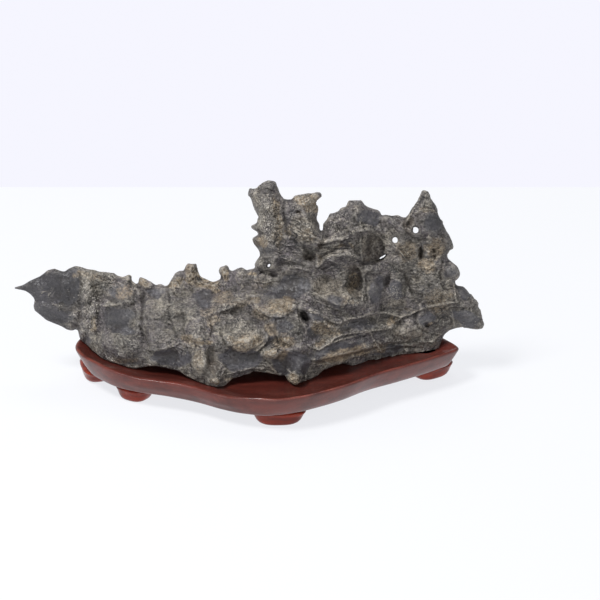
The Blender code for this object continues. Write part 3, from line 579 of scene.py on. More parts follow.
# Width, millimetres, the pale mineral along it, mark and points.
FACE_STROKES = (
    (3, 1.4, 0.2, R, ((46, 274), (52, 271.5), (58, 272.5), (65, 274))),
    (2, 1.4, 0, G, ((40, 315), (50, 319), (64, 323))), (1.4, 1, 0, R, ((64, 274), (63, 286), (66, 299))),
    (1, 0.8, 0.5, R, ((49, 295), (55, 287))),
    (5, 2, 0.9, L, ((102, 306.5), (110, 305), (120, 304), (133, 303))),
    (5, 1.4, 0, G, ((103, 328), (110, 326), (119, 327), (131, 335))),
    (1.4, 2.6, 0, G, ((137, 286), (143.5, 292), (142, 312), (141, 329), (147, 344), (149, 353))),
    (1.2, 1.6, 0, G, ((136, 289), (134, 300), (136, 316))), (1.2, 1.2, 0.7, R, ((95, 337), (96, 351))),
    (1.3, 0.6, 0, G, ((96, 286), (98.5, 305), (98, 325), (96, 338))),
    (1.6, 1.4, 0, G, ((79, 272), (80, 285), (79.5, 300), (80, 318))),
    (4, 1.6, 0, L, ((148, 350), (160, 349), (172, 346), (181, 343), (190, 346))),
    (1.2, 1.2, 0.6, R, ((146, 314), (153, 319), (163, 316), (166, 308))),
    (1.4, 1.2, 0, G, ((167, 289), (170, 300), (169, 312), (172, 325), (178, 338))),
    (1.4, 2, 0, G, ((184, 318), (182, 328), (184, 337), (192, 344))),
    (1.4, 1.4, 0.7, R, ((187, 318), (198, 318), (206, 313), (213, 310.5))),
    (1.3, 1.8, 0, G, ((203, 345), (211, 338), (213.5, 328), (210, 319))),
    (2, 1.6, 0.7, R, ((190, 343), (202, 345.5), (211, 339))),
    (5, 2.2, 0, L, ((186, 320), (200, 320), (210, 315), (222, 311), (234, 306))),
    (1.2, 1, 0, R, ((216, 308), (228, 303), (240, 301))),
    (1.6, 1.6, 0.7, R, ((196, 282), (204, 284), (213, 286), (221, 281))),
    (1.2, 1.2, 0, R, ((236, 296), (248, 295), (258, 297))),
    (1.2, 2.2, 0, G, ((250, 314), (257, 315), (263, 319))),
    (6, 3, 0.7, L, ((228, 343), (236, 349), (246, 351), (256, 350), (263, 345), (268, 337), (270, 329))),
    (1.2, 1.6, 0, G, ((222, 322), (221, 334), (225, 346))),
    (4, 1.6, 0, L, ((262, 356), (268, 358.5), (276, 356), (283, 350))),
    (1, 0.9, 0.7, R, ((225, 374), (233, 372), (244, 369.5), (254, 368), (263, 369))),
    (1, 0.8, 0.8, R, ((266, 362), (271, 367), (276, 372))), (1, 0.8, 0.8, R, ((287, 369), (291, 373))),
    (1.3, 1.8, 0, G, ((276, 320), (273, 331), (278, 343), (291, 347))),
    (1.2, 1.2, 0.6, R, ((276, 331), (284, 329), (291, 333))),
    (5, 1.6, 0, L, ((262, 312), (272, 317), (284, 317), (296, 317))),
    (1.2, 1.4, 0, G, ((299, 302), (298, 311), (301, 322), (306, 330))),
    (1.1, 1.2, 0.8, R, ((308, 309.5), (314, 311), (322, 315), (329, 321))),
    (1.5, 2.6, 0, G, ((283, 205), (284, 216), (285, 224), (286, 231), (288, 236))),
    (1.1, 1.2, 0, G, ((260, 190), (268, 189), (275, 192))),
    (1.3, 2, 0, G, ((290, 235), (295, 238), (300, 243), (305, 250), (309, 254))),
    (3.4, 1.8, 0.7, R, ((287, 214), (296, 216), (303, 215), (307, 222), (313, 228), (321, 236))),
    (0.8, 0.6, 0.3, R, ((289, 217), (298, 221), (308, 228), (316, 234))),
    (0.8, 0.6, 0.3, R, ((290, 225.5), (300, 231), (310, 237.5))),
    (0.8, 0.6, 0.2, R, ((292, 233), (300, 237), (310, 241), (318, 246))),
    (0.9, 0.8, 0.5, R, ((291, 222), (300, 228), (309, 234), (320, 240))),
    (0.9, 0.8, 0.5, R, ((290, 229), (298, 233), (308, 239), (318, 243))),
    (1, 1, 0.5, R, ((299, 235.5), (308, 236), (316, 238), (324, 243))),
    (1, 1, 0, R, ((299, 243), (308, 243.5), (317, 246))),
    (4, 1.4, 0.5, L, ((283, 245), (292, 245), (300, 248), (306, 254))),
    (4, 1.2, 0.5, L, ((258, 258), (270, 257), (284, 258), (297, 262))),
    (1.1, 1, 0, R, ((288, 266), (300, 268), (310, 271))),
    (1.1, 0.5, 0, G, ((302, 262), (305, 280), (303, 298))),
    (1.9, 2.4, 0.7, R, ((317, 242), (326, 241), (336, 239), (346, 236.5), (352, 232))),
    (1.5, 3, 0.9, R, ((352, 232), (358, 229), (366, 228), (372, 229), (379, 234), (384, 239), (386, 244))),
    (1, 1.2, 0.5, R, ((386, 244), (386, 250), (383, 256))),
    (1.2, 1.4, 0.3, R, ((361, 234), (360.5, 246), (362, 258))),
    (1, 1.2, 0.5, R, ((325, 240), (338, 235), (350, 229.5), (362, 224.5), (372, 226))),
    (1.5, 2.4, 0.8, R, ((317, 265), (322, 260.5), (330, 256), (338, 254.5), (347, 254), (358, 257))),
    (1, 1.3, 0.6, R, ((316, 262), (324, 257), (333, 252.5), (344, 251.5), (354, 252.5))),
    (1, 1.2, 0.5, R, ((320, 250), (330, 247.5), (340, 247), (350, 248))),
    (1.3, 1.8, 0, G, ((322, 259), (332, 254), (342, 253))),
    (1.2, 1.6, 0, G, ((319, 246), (330, 243), (341, 241), (350, 238))),
    (0.9, 1, 0.4, R, ((321, 272), (330, 267), (341, 266))),
    (1.1, 1.4, 0.5, R, ((318, 253), (328, 250), (340, 251), (352, 250))),
    (1.1, 1.4, 0.5, R, ((318, 270), (325, 265.5), (333, 262), (343, 262))),
    (1.1, 1.1, 0, R, ((320, 247), (330, 245), (338, 244))),
    (1.2, 1.4, 0, R, ((352, 266), (347, 272), (344, 282), (341, 290))),
    (1.2, 1.6, 0, R, ((355, 213), (358, 220), (361, 228))),
    (1.4, 1.6, 0, G, ((363, 233), (362, 245), (364, 258))),
    (1.2, 1.4, 0, R, ((354, 268), (358, 266), (362, 270), (364, 282), (362, 300))),
    (1.2, 1.2, 0, G, ((366, 276), (366, 290), (369, 302))),
    (1, 0.8, 0.5, R, ((306, 296), (318, 302), (332, 307), (346, 312))),
    (1, 0.8, 0.4, R, ((312, 292), (326, 299), (338, 305))),
    (1, 0.7, 0, R, ((300, 300), (314, 308), (330, 315), (340, 319))),
    (5, 2.4, 0.9, L, (
        (310, 311.5), (321, 316), (330, 321), (340, 322.5), (350, 318.5), (361, 316), (374, 312.5),
        (386, 312.5), (400, 316.5), (409, 314.5), (421, 309), (431, 306), (443, 303.5), (456, 301.5),
    )),
    (5, 2.2, 0.9, L, (
        (311, 347), (319, 350), (329, 344), (334, 338.5), (343, 334.5), (357, 332), (370, 330.7), (381, 329.5),
        (391, 328),
    )),
    (1.1, 1.2, 0.7, R, ((326, 346), (337, 341), (354, 336), (369, 332))),
    (1.1, 1.4, 0, R, ((391, 328), (394, 322), (400, 318))),
    (1, 1.4, 0.9, R, ((370, 332), (373, 339), (376, 344), (381.5, 351))),
    (1, 1, 0.7, R, ((374, 340), (379, 342), (383, 345))),
    (4, 1.8, 0.7, L, ((312, 360), (326, 356.5), (343, 353.5), (357, 350.5), (371, 346.5), (379, 345))),
    (1, 0.8, 0, R, ((312, 363), (322, 359), (331, 356))),
    (1.2, 1, 0, R, ((326, 325), (336, 327), (346, 326), (358, 322))),
    (4, 1.4, 0, L, ((392, 341), (404, 341), (418, 342), (432, 341))),
    (1.1, 1.2, 0.7, R, ((431, 341), (437, 337), (443, 333))),
    (1.1, 1.2, 0.7, R, ((451.5, 310), (453, 318), (454, 326))),
    (1.4, 2, 0, G, ((418.5, 309.5), (416, 314), (416, 320), (419, 328), (428, 333))),
    (1.3, 2.4, 0, G, ((405, 275), (408, 282), (413, 294))),
    (1.3, 2.2, 0, G, ((443, 262), (440.5, 273), (441, 283), (445, 289))),
    (1.3, 1.8, 0.7, R, ((453, 283), (455, 293), (457, 301))),
    (1.3, 1.6, 0.7, R, ((421, 197), (416, 205), (411, 213), (406, 222))),
    (1.2, 1.4, 0.6, R, ((413, 216), (418.5, 211), (426, 209), (434, 211))),
    (1, 1, 0, R, ((420, 220), (428, 218), (438, 221))),
    (1.2, 1.6, 0, G, ((404, 224), (407, 232), (413, 238), (420, 240))),
    (1.1, 1.2, 0.5, R, ((388, 243), (396, 248), (402, 254), (409, 263))),
    (1.1, 1.2, 0, G, ((384, 262), (392, 266), (402, 272), (412, 275))),
    (1.1, 1.2, 0.5, R, ((444, 264), (450, 263.5), (457, 268))),
    (1.2, 1.4, 0, G, ((457, 287), (463, 289), (469, 297), (473, 303))),
    (4, 1.2, 0, L, ((452, 306), (462, 306), (472, 306))),
    (1.2, 1.2, 0, R, ((384, 217), (388, 225), (393, 232))),
    (1.1, 1.2, 0, G, ((381, 219), (382, 226), (385, 234))),
    (1.1, 1.1, 0, G, ((334, 215), (333, 224), (337, 232))), (1, 0.6, 0.5, R, ((52, 296), (55, 291))),
    (1.1, 0.6, 0.6, R, ((128, 276), (131, 281), (136, 286))), (1, 0.6, 0.8, R, ((158, 307), (166, 306))),
    (0.9, 0.6, 0.4, R, ((359, 214), (360, 221), (362, 228))),
)


class Finish(Enum):
    """What a patch of the face is made of, and so how it is broken and coloured."""

    CRUST = "tan crust, rough"
    PALE = "pale crystals and chips"
    BROWN = "brown stain in a hollow"
    SMOOTH = "smooth bluish grey"
    NODULES = "granular, of small knobs"
    LAYERS = "thin parallel layers"
    DARK = "near-black stone"
    BUFF = "smooth buff stone"


# Where each finish is on the face: u, v, half width, half height, tilt and amount.
PATCHES = {
    Finish.CRUST: (
        (80, 275, 8, 5, 0, 0.5), (94.5, 325, 3.5, 7, 0, 0.9), (95, 277, 14, 5, 4, 0.4),
        (112, 283, 14, 5, 3, 0.25), (122, 361, 20, 4, 4, 0.5), (124, 293, 12, 8, 0, 0.5),
        (134, 284, 4, 2, 30, 0.9), (146, 283, 7, 5, 10, 0.9), (175, 282, 12, 5, -30, 0.7),
        (191, 274, 6, 9, 0, 0.9), (192, 340, 12, 5, 30, 0.8), (197, 277, 4, 9, 0, 0.9),
        (199, 361, 8, 13, 12, 0.6), (205, 342, 8, 4, -10, 0.8), (206, 285, 15, 6, 8, 0.9),
        (208, 310, 10, 5, -10, 0.6), (214, 320, 8, 9, 0, 0.6), (214, 326, 7, 9, 0, 0.25),
        (216, 290, 5, 4, 0, 0.7), (217, 380, 5, 5, 0, 1), (224, 274, 5, 7, 0, 0.8), (224, 298, 12, 10, 0, 0.6),
        (228, 338, 4, 5, 0, 1), (229, 377, 4, 3, 0, 0.7), (236, 303, 26, 6, -4, 0.55),
        (246, 343, 20, 9, -8, 0.9), (253, 299, 5, 5, 0, 0.8), (254, 274, 7, 4, 0, 0.8),
        (262, 244, 9, 9, 0, 0.7), (262, 285, 14, 8, 0, 0.35), (262, 312, 12, 10, 0, 0.6),
        (265, 243, 4, 6, 0, 0.5), (267, 212, 7, 4, 0, 0.5), (271, 352, 9, 6, -20, 0.95),
        (272, 235, 5, 6, 0, 0.5), (272, 328, 8, 8, 0, 0.7), (275, 356, 12, 5, 0, 0.5),
        (277, 222, 4.5, 28, -5, 1), (281, 306, 17, 11, 4, 0.85), (282, 343, 14, 8, 0, 0.9),
        (283, 335, 9, 5, 20, 0.5), (284, 356, 7, 8, 0, 0.6), (288, 231, 6, 6, 0, 0.5), (294, 380, 9, 5, 0, 0.9),
        (306, 200, 15, 7, -5, 0.95), (308, 236, 12, 5, 20, 0.6), (310, 205, 10, 9, 0, 0.6),
        (311, 207, 7, 6, 0, 1), (318, 259, 3, 7, 0, 0.7), (318, 330, 5, 4, 0, 0.6), (321, 344, 9, 4, -30, 0.6),
        (326, 330, 18, 8, 8, 0.75), (341, 248, 4, 3, 0, 0.8), (345, 355, 34, 7, -12, 0.7),
        (349, 301, 10, 6, 6, 0.5), (350, 246, 3, 3, 0, 0.8), (351, 287, 7, 8, 0, 0.7), (353, 282, 7, 9, 0, 0.9),
        (356, 204, 7, 4, 0, 0.3), (378, 347, 8, 8, 0, 0.6), (393, 323, 5, 6, 0, 0.9), (400, 225, 9, 7, 0, 0.25),
        (405, 312, 12, 3, 0, 0.4), (408, 250, 15, 13, 0, 0.6), (426, 210, 10, 3, 4, 0.6),
        (427, 264, 11, 8, 0, 0.8), (430, 326, 4, 2.4, 0, 0.8), (434, 248, 10, 13, 0, 0.8),
        (438, 301, 16, 15, -4, 0.6), (443, 240, 4, 6, -20, 0.5), (443, 312, 4, 4, 0, 0.5),
    ),
    Finish.PALE: (
        (52, 291, 4, 8, 20, 0.4), (74.5, 279, 3, 4, 0, 0.4), (75, 318, 7, 9, 20, 0.5),
        (84.5, 329.5, 2.5, 2, 0, 1), (85, 324, 4, 6, 0, 0.7), (86, 287, 4, 4, 0, 0.9), (87, 299, 4, 4, 0, 1),
        (90, 292, 4, 4, 0, 0.6), (90, 308, 10, 27, 0, 0.75), (94, 311, 3, 5, 0, 0.7), (95, 301, 3, 4, 0, 0.7),
        (110, 358, 5, 4, 30, 0.9), (146, 281, 5, 3, 10, 0.5), (156, 318, 10, 2.4, 0, 0.4),
        (163, 310, 3, 4, 0, 0.6), (197, 277, 4, 9, 0, 0.7), (197.5, 327.5, 3, 4, 0, 1),
        (199, 318, 14, 3, -10, 0.6), (206, 282, 12, 4, 8, 0.5), (227.5, 340, 2.4, 2.6, 0, 0.9),
        (231, 318, 4, 4, 0, 0.4), (238, 329, 5, 4, 0, 0.9), (242, 272, 5, 4, 0, 0.4), (244, 321, 5, 4, 20, 1),
        (248, 347, 14, 4, -8, 0.4), (253, 346, 10, 4, -16, 0.5), (260, 262, 5, 5, 30, 0.7),
        (268, 184, 9, 3, -12, 0.35), (268, 225, 13, 30, -6, 0.75), (268, 240, 5, 2.5, 0, 0.4),
        (270, 353, 6, 2.4, -25, 0.6), (272, 287, 10, 6, 0, 0.3), (277, 224, 4, 25, -5, 0.8),
        (290, 341, 4, 2.2, 20, 0.8), (294, 306, 4, 3.4, 0, 0.9), (303, 232, 17, 9, 38, 0.6),
        (307, 202, 13, 8, 0, 0.8), (310.5, 215, 2.2, 2.2, 0, 1), (311, 207, 6, 5, 0, 0.5),
        (331, 219, 5, 4, 0, 0.4), (332, 328, 8, 4, 8, 0.8), (336, 218, 12, 12, -20, 0.3),
        (352, 299, 7, 4, 10, 0.4), (354, 276, 8, 6, 0, 0.5), (361, 221, 2.4, 8, -10, 0.5),
        (396, 296, 5, 6, 0, 0.4), (396, 296, 10, 10, 0, 0.5), (396.5, 342.2, 4.5, 1.6, 0, 1),
        (399, 281, 4, 3, 0, 0.7), (404, 268, 8, 6, 0, 0.3), (430, 240, 3, 5, -10, 0.9),
        (434, 262, 5, 5, 0, 0.3), (436, 296, 17, 6, 0, 0.6), (442, 299, 16, 6, -6, 0.5),
        (450, 281, 4, 3, 0, 0.9), (453, 268, 4, 2, 20, 0.5), (468.5, 295.3, 1.6, 1.6, 0, 1),
        (476, 309, 4, 3, 0, 0.8),
    ),
    Finish.BROWN: (
        (213, 361, 6.5, 17, -6, 0.9), (299, 213, 3, 2.6, 0, 0.9), (309, 257, 6, 6, 0, 1),
        (322, 245, 5, 6, 0, 0.9), (354, 269, 8, 6, 0, 0.8), (366, 261, 5, 3.4, 0, 0.9),
        (367.5, 247, 4.5, 14, 4, 1), (376, 247, 11, 15, 12, 0.5), (408, 228, 8, 8, 0, 0.4),
        (409, 225, 5, 9, 20, 0.8), (421, 254, 3, 7, 0, 0.9), (435, 254, 3, 6, 0, 0.9),
    ),
    Finish.SMOOTH: (
        (30, 288, 18, 6, -6, 1), (48, 288, 30, 16, -10, 1), (52, 312, 26, 9, 14, 1), (70, 285, 11, 20, 0, 1),
        (87, 342, 7, 8, 0, 0.5), (119, 317, 19, 12, 4, 0.6), (120, 292, 17, 8, 2, 0.5),
        (122, 330, 16, 6, 14, 0.8), (130, 364, 17, 4, 0, 0.4), (155, 292, 14, 6, 0, 0.5),
        (170, 360, 22, 9, 6, 0.95), (185, 358, 6, 12, 0, 0.5), (203, 299, 12, 9, 0, 0.65),
        (240, 359, 22, 12, 2, 1), (265, 250, 16, 8, 0, 0.4), (272, 330, 6, 10, 30, 0.7),
        (274, 292, 18, 8, 0, 0.5), (282, 324, 11, 7, 15, 0.8), (292, 288, 17, 14, 0, 0.8),
        (293, 363, 20, 12, 0, 0.9), (313, 335, 9, 6, 20, 0.6), (316, 318, 9, 4, 14, 0.7),
        (336, 300, 12, 6, 20, 0.5), (340, 352, 34, 9, -10, 0.7), (360, 325, 22, 6, -4, 0.5),
        (369, 217, 14, 10, 0, 0.8), (376, 290, 9, 14, 12, 0.8), (385, 350, 22, 6, -8, 0.6),
        (397, 290, 8, 9, 8, 0.6), (427, 318, 11, 8, -14, 0.8), (432, 223, 10, 9, 20, 0.9),
        (451, 271, 7, 6, 25, 0.6), (463, 292, 8, 7, 35, 0.7), (467, 318, 17, 9, 20, 0.9),
    ),
    Finish.NODULES: (
        (75, 318, 8, 10, 20, 0.7), (89, 305, 12, 28, 0, 1), (120, 342, 24, 14, 6, 0.5),
        (155, 304, 14, 16, 0, 0.5), (158, 336, 14, 11, 0, 0.3), (199, 330, 15, 15, 10, 0.2),
        (199, 361, 7, 12, 12, 0.5), (222, 314, 14, 6, -20, 0.6), (241, 324, 11, 8, 0, 1),
        (242, 273, 7, 6, 0, 1), (253, 193, 5, 5, 0, 0.5), (268, 220, 16, 32, -6, 1), (281, 300, 8, 6, 0, 0.5),
        (290, 281, 14, 12, 0, 0.5), (338, 222, 14, 15, -20, 1), (396, 227, 10, 9, 0, 0.4),
        (396, 262, 6, 5, 0, 0.5), (408, 333, 14, 9, 0, 0.2), (427, 196, 5, 6, 0, 0.4),
        (427, 342, 12, 6, -16, 0.6),
    ),
    Finish.LAYERS: (
        (288, 252, 12, 5, 8, 0.6), (306, 236, 15, 7, 30, 0.3), (325, 287, 18, 15, 0, 0.3),
        (325, 361, 18, 6, -16, 0.8), (330, 312, 26, 10, 20, 0.7), (335, 261, 18, 7, -10, 0.8),
        (336, 245, 20, 10, -10, 0.8),
    ),
    Finish.DARK: (
        (40, 281, 20, 9, -25, 0.9), (46, 306, 14, 10, 20, 0.5), (60, 280, 20, 15, -10, 0.95),
        (60, 317, 22, 5, 12, 0.7), (60, 322, 14, 5, 14, 0.6), (68, 298, 14, 16, 0, 0.9),
        (70, 287, 6, 17, -3, 0.8), (87, 342, 7, 8, 0, 0.2), (112, 300, 8, 4, 0, 0.8),
        (118, 340, 24, 12, 6, 0.3), (122, 317, 20, 13, 4, 0.75), (148, 357, 8, 10, 0, 0.5),
        (150, 330, 14, 22, 0, 0.4), (170, 330, 16, 16, 0, 0.3), (182, 318, 7, 6, 0, 0.5),
        (216, 352, 6, 14, 0, 0.5), (234, 297, 14, 5, 0, 0.3), (240, 286, 14, 6, 4, 0.5),
        (250, 191, 4, 5, 0, 0.5), (256, 320, 6, 4, 25, 0.8), (262, 200, 6, 16, -10, 0.2),
        (262, 300, 26, 6, 6, 0.55), (266, 187, 10, 5, -6, 0.45), (268, 256, 8, 5, 0, 0.5),
        (284, 220, 2.4, 18, -3, 0.8), (284, 270, 11, 5, 0, 0.4), (284, 326, 18, 7, -10, 0.7),
        (290, 263, 18, 4, 6, 0.7), (290, 284, 18, 20, 0, 0.5), (292, 293, 13, 12, 0, 0.3),
        (295, 366, 5, 12, 0, 0.5), (296, 336, 7, 16, 10, 0.7), (306, 316, 4, 7, -28, 1),
        (308, 256, 16, 13, 0, 0.5), (313, 220, 6, 9, -20, 0.3), (320, 195, 2.4, 2.4, 0, 0.5),
        (350, 217, 6, 12, 10, 0.4), (366, 286, 5, 10, 0, 0.5), (367, 246, 5, 12, 0, 0.5),
        (368, 279, 6, 6, 0, 0.5), (387, 281, 3, 9, 12, 0.8), (394, 222, 12, 5, 0, 0.4),
        (396.5, 347, 7, 2.4, 0, 1), (422, 233, 9, 25, 0, 0.6), (437, 228, 11, 22, -25, 0.6),
    ),
    Finish.BUFF: (
        (55, 307, 17, 3, 10, 0.8), (120, 342, 24, 14, 6, 0.3), (155, 305, 14, 10, 0, 0.3),
        (160, 336, 19, 11, -6, 0.3), (199, 331, 14, 14, 10, 0.4), (246, 341, 19, 9, -8, 1),
        (277, 225, 9, 28, -8, 0.6), (300, 232, 18, 14, 30, 0.6), (303, 230, 18, 10, 38, 1),
        (325, 288, 18, 14, 0, 0.8), (349, 296, 14, 11, 6, 1), (361.5, 246, 2, 13, 2, 0.7),
        (398, 303, 9, 6, 0, 0.6), (410, 333, 20, 8, -6, 0.6),
    ),
}


# ---------------------------------------------------------------- meshes


def make_mesh(name: str, points: Array, faces: Array) -> bpy.types.Object:
    """An object at the origin from points in metres and faces of one size.

    Args:
        name: The piece's name.
        points: Places (n, 3).
        faces: Each face's corners (m, 3 or 4), anticlockwise from outside.

    Returns:
        The object, smooth shaded and linked to the scene.
    """
    mesh = bpy.data.meshes.new(name)
    size = faces.shape[1]
    mesh.vertices.add(len(points))
    mesh.loops.add(faces.size)
    mesh.polygons.add(len(faces))
    mesh.vertices.foreach_set("co", points.astype(np.float32).ravel())
    mesh.loops.foreach_set("vertex_index", faces.astype(np.int32).ravel())
    mesh.polygons.foreach_set("loop_start", np.arange(0, faces.size, size, dtype=np.int32))
    mesh.polygons.foreach_set("use_smooth", np.ones(len(faces), bool))
    mesh.update(calc_edges=True)
    mesh.validate()
    obj = bpy.data.objects.new(name, mesh)
    bpy.context.scene.collection.objects.link(obj)
    return obj


def points_of(mesh: bpy.types.Mesh) -> Array:
    """The mesh's vertices as an array (n, 3)."""
    points = np.empty(len(mesh.vertices) * 3, np.float32)
    mesh.vertices.foreach_get("co", points)
    return points.reshape(-1, 3).astype(np.float64)


def ring_surface(name: str, rings: Sequence[Array], shift: Array) -> bpy.types.Object:
    """A closed surface through rings of equal length: a profile carried round a path.

    Args:
        name: The piece's name.
        rings: Arrays (k, 3) in millimetres, anticlockwise from above, from the top's middle outwards,
            down the side and in again below. The first and the last close on one point each.
        shift: What is added to them, in millimetres.

    Returns:
        The object. Face (r, i) joins ring r's points i and i + 1 to ring r + 1's.
    """
    count = len(rings[0])
    points = np.concatenate([ring[:1].repeat(1, 0) if len(ring) == 1 else ring for ring in rings])
    i = np.arange(count)
    j = (i + 1) % count
    walls = []
    for ring in range(len(rings) - 1):
        high, low = ring * count, (ring + 1) * count
        walls.append(np.stack([high + i, low + i, low + j, high + j], axis=1))
    obj = make_mesh(name, (points + shift) * MM, np.concatenate(walls))
    close_poles(obj.data)
    return obj


def close_poles(mesh: bpy.types.Mesh) -> None:
    """Merges the rings that have shrunk to a point, so that the surface has no seam or hole."""
    work = bmesh.new()
    work.from_mesh(mesh)
    bmesh.ops.remove_doubles(work, verts=work.verts, dist=1e-6)
    bmesh.ops.recalc_face_normals(work, faces=work.faces)
    for face in work.faces:
        face.smooth = True
    work.to_mesh(mesh)
    work.free()


def largest_part(count: int, faces: Array) -> Array:
    """Which vertices belong to the mesh's largest connected part.

    Args:
        count: How many vertices there are.
        faces: Each face's corners.

    Returns:
        True for each vertex of that part: labels are lowered along edges until none changes.
    """
    label = np.arange(count)
    ends = np.concatenate([faces[:, [k, (k + 1) % faces.shape[1]]] for k in range(faces.shape[1])])
    while True:
        lowest = np.minimum(label[ends[:, 0]], label[ends[:, 1]])
        fresh = label.copy()
        np.minimum.at(fresh, ends[:, 0], lowest)
        np.minimum.at(fresh, ends[:, 1], lowest)
        np.minimum.at(fresh, label[ends[:, 0]], lowest)
        np.minimum.at(fresh, label[ends[:, 1]], lowest)
        fresh = fresh[fresh]
        if np.array_equal(fresh, label):
            return label == np.bincount(label).argmax()
        label = fresh


def store(mesh: bpy.types.Mesh, name: str, values: Sequence[Array]) -> None:
    """Puts up to four values for each vertex into a colour attribute, one for each channel."""
    colours = np.zeros((len(mesh.vertices), 4), np.float32)
    for channel, value in enumerate(values):
        colours[:, channel] = np.clip(value, 0, 1)
    made = mesh.color_attributes.new(name=name, type="FLOAT_COLOR", domain="POINT")
    made.data.foreach_set("color", colours.ravel())


# ---------------------------------------------------------------- the stand


@dataclass
class Slab:
    """The stand's slab: a rim outline, a section carried round it, and a shallow dish."""

    foot_height: float = 12.0
    rim_height: float = 30.0
    dish_floor: float = 26.0
    lean_at_ends: float = 0.8
    fuller_front_left: float = 0.52
    rim_points: int = 420
    # How far the front of the rim sags: x and the drop, in millimetres.
    sag: Line = ((-160, 0), (-141, 2), (-126, 3), (-96, 2.3), (-76, 2.8), (-57, 3.4), (-44, 1.6), (-32, 0))
    rings_inside: int = 16
    plan: Line = (
        (-181, -6), (-177, -22), (-167, -37), (-150, -54), (-128, -67), (-101, -77), (-82, -86), (-64, -98),
        (-44, -108), (-20, -114), (0, -109), (20, -98), (41, -83), (62, -64), (84, -49), (105, -34), (120, -22),
        (127, -15), (127, -9), (120, 3), (108, 18), (88, 31), (58, 37), (20, 36), (-20, 38), (-60, 46),
        (-100, 51), (-136, 46), (-162, 31), (-176, 13),
    )
    # How far inside the rim and how high, from the sole's edge up the side and down into the dish.
    section: Line = (
        (11.0, 12.0), (9.4, 12.2), (7.6, 13.6), (5.6, 16.4), (3.7, 19.8), (2.0, 23.6), (0.7, 27.0), (0.1, 28.8),
        (0.4, 29.7), (1.4, 30.0), (3.0, 29.4), (6.0, 28.2), (10.0, 27.0), (16.0, 26.0),
    )

    def outline(self) -> Array:
        """The rim in plan (n, 2), anticlockwise: a closed smooth curve through the plan's points."""
        points = np.asarray(self.plan, float)
        before, after, beyond = np.roll(points, 1, 0), np.roll(points, -1, 0), np.roll(points, -2, 0)
        t = np.linspace(0, 1, 24, endpoint=False)[:, None, None]
        fine = 0.5 * (
            2 * points + (after - before) * t + (2 * before - 5 * points + 4 * after - beyond) * t**2
            + (3 * points - before - 3 * after + beyond) * t**3
        )
        fine = fine.transpose(1, 0, 2).reshape(-1, 2)
        closed = np.vstack([fine, fine[:1]])
        along = np.concatenate([[0], np.cumsum(np.linalg.norm(np.diff(closed, axis=0), axis=1))])
        at = np.linspace(0, along[-1], self.rim_points, endpoint=False)
        return np.stack([np.interp(at, along, closed[:, k]) for k in range(2)], axis=1)

    def smooth_section(self) -> Array:
        """The section (n, 2) as a smooth curve, from the dish's edge over the rim and down to the sole."""
        points = np.asarray(self.section, float)[::-1]
        reach = np.concatenate([[0], np.cumsum(np.hypot(*np.diff(points, axis=0).T))])
        at = np.linspace(0, reach[-1], 64)
        line = np.stack([np.interp(at, reach, points[:, k]) for k in range(2)], axis=1)
        for _ in range(5):
            line[1:-1] = (line[:-2] + 2 * line[1:-1] + line[2:]) / 4
        return line

    def inset(self, rim: Array, inset: float, below: bool = False) -> Array:
        """The rim moved inwards along its own normals: below it, further at the ends and less at the front left."""
        tangent = np.roll(rim, -1, 0) - np.roll(rim, 1, 0)
        tangent /= np.linalg.norm(tangent, axis=1)[:, None]
        inward = np.stack([-tangent[:, 1], tangent[:, 0]], axis=1)
        if not below:
            return rim + inset * inward
        ends = self.lean_at_ends * inward[:, :1] ** 4
        front = 2 * self.fuller_front_left * np.clip(inward[:, :1], 0, 1) * np.clip(inward[:, 1:], 0, 1)
        return rim + inset * (1 + ends - front) * inward

    def dish_height(self, x: Array, y: Array) -> Array:
        """The height of the dish under plan places, and of the rim outside it.

        Args:
            x: Places across, in millimetres, of any shape.
            y: Places away, of the same shape.

        Returns:
            Heights of that shape, read from the section at each place's distance inside the rim.
        """
        away = np.maximum(inside_of(x.ravel(), y.ravel(), self.outline()[::3]), 0)
        line = self.smooth_section()
        top = line[: int(line[:, 1].argmax()) + 1][::-1]
        return np.interp(away, top[:, 0], top[:, 1]).reshape(x.shape)

    def build(self, shift: Array) -> bpy.types.Object:
        """Builds the slab from the middle of its dish outwards, over the rim and in again below.

        Args:
            shift: What is added to its places, in millimetres.

        Returns:
            The slab, with an attribute of how near each place is to a worn edge and of the painted shade over its dish.
        """
        rim = self.outline()
        line = self.smooth_section()
        middle = rim.mean(axis=0)
        inner, outer = self.inset(rim, line[0, 0]), self.inset(rim, line[-1, 0], True)
        top = int(line[:, 1].argmax())
        rings = [
            np.column_stack([middle + (inner - middle) * share, np.full(len(rim), self.dish_floor)])
            for share in np.linspace(0, 1, self.rings_inside, endpoint=False)
        ]
        drop = np.interp(rim[:, 0], *zip(*self.sag)) * (rim[:, 1] < 0)
        rings += [
            np.column_stack([
                self.inset(rim, away, k > top),
                height - drop * (1 - ease(away / 10.0) * (k < top)) * ease((height - 14.0) / 10.0),
            ])
            for k, (away, height) in enumerate(line)
        ]
        rings += [
            np.column_stack([middle + (outer - middle) * share, np.full(len(rim), self.foot_height)])
            for share in np.linspace(1, 0, self.rings_inside)[1:]
        ]
        obj = ring_surface("slab", rings, shift)
        points = points_of(obj.data) / MM - shift
        worn = np.exp(-((points[:, 2] - self.rim_height) / 0.7) ** 2)
        away = along_line(points[:, 0], points[:, 1], [*rim[::3], rim[0]])[0]
        # Painted shade over the dish, from just inside the rim, faded out towards the right end where the dish is lit.
        dish = ease((away - 1.8) / 3.0) * (points[:, 2] > self.dish_floor - 3.0)
        dish = dish * (1 - ease((points[:, 0] - 92.0) / 14.0))
        store(obj.data, "wear", (worn, dish))
        return obj


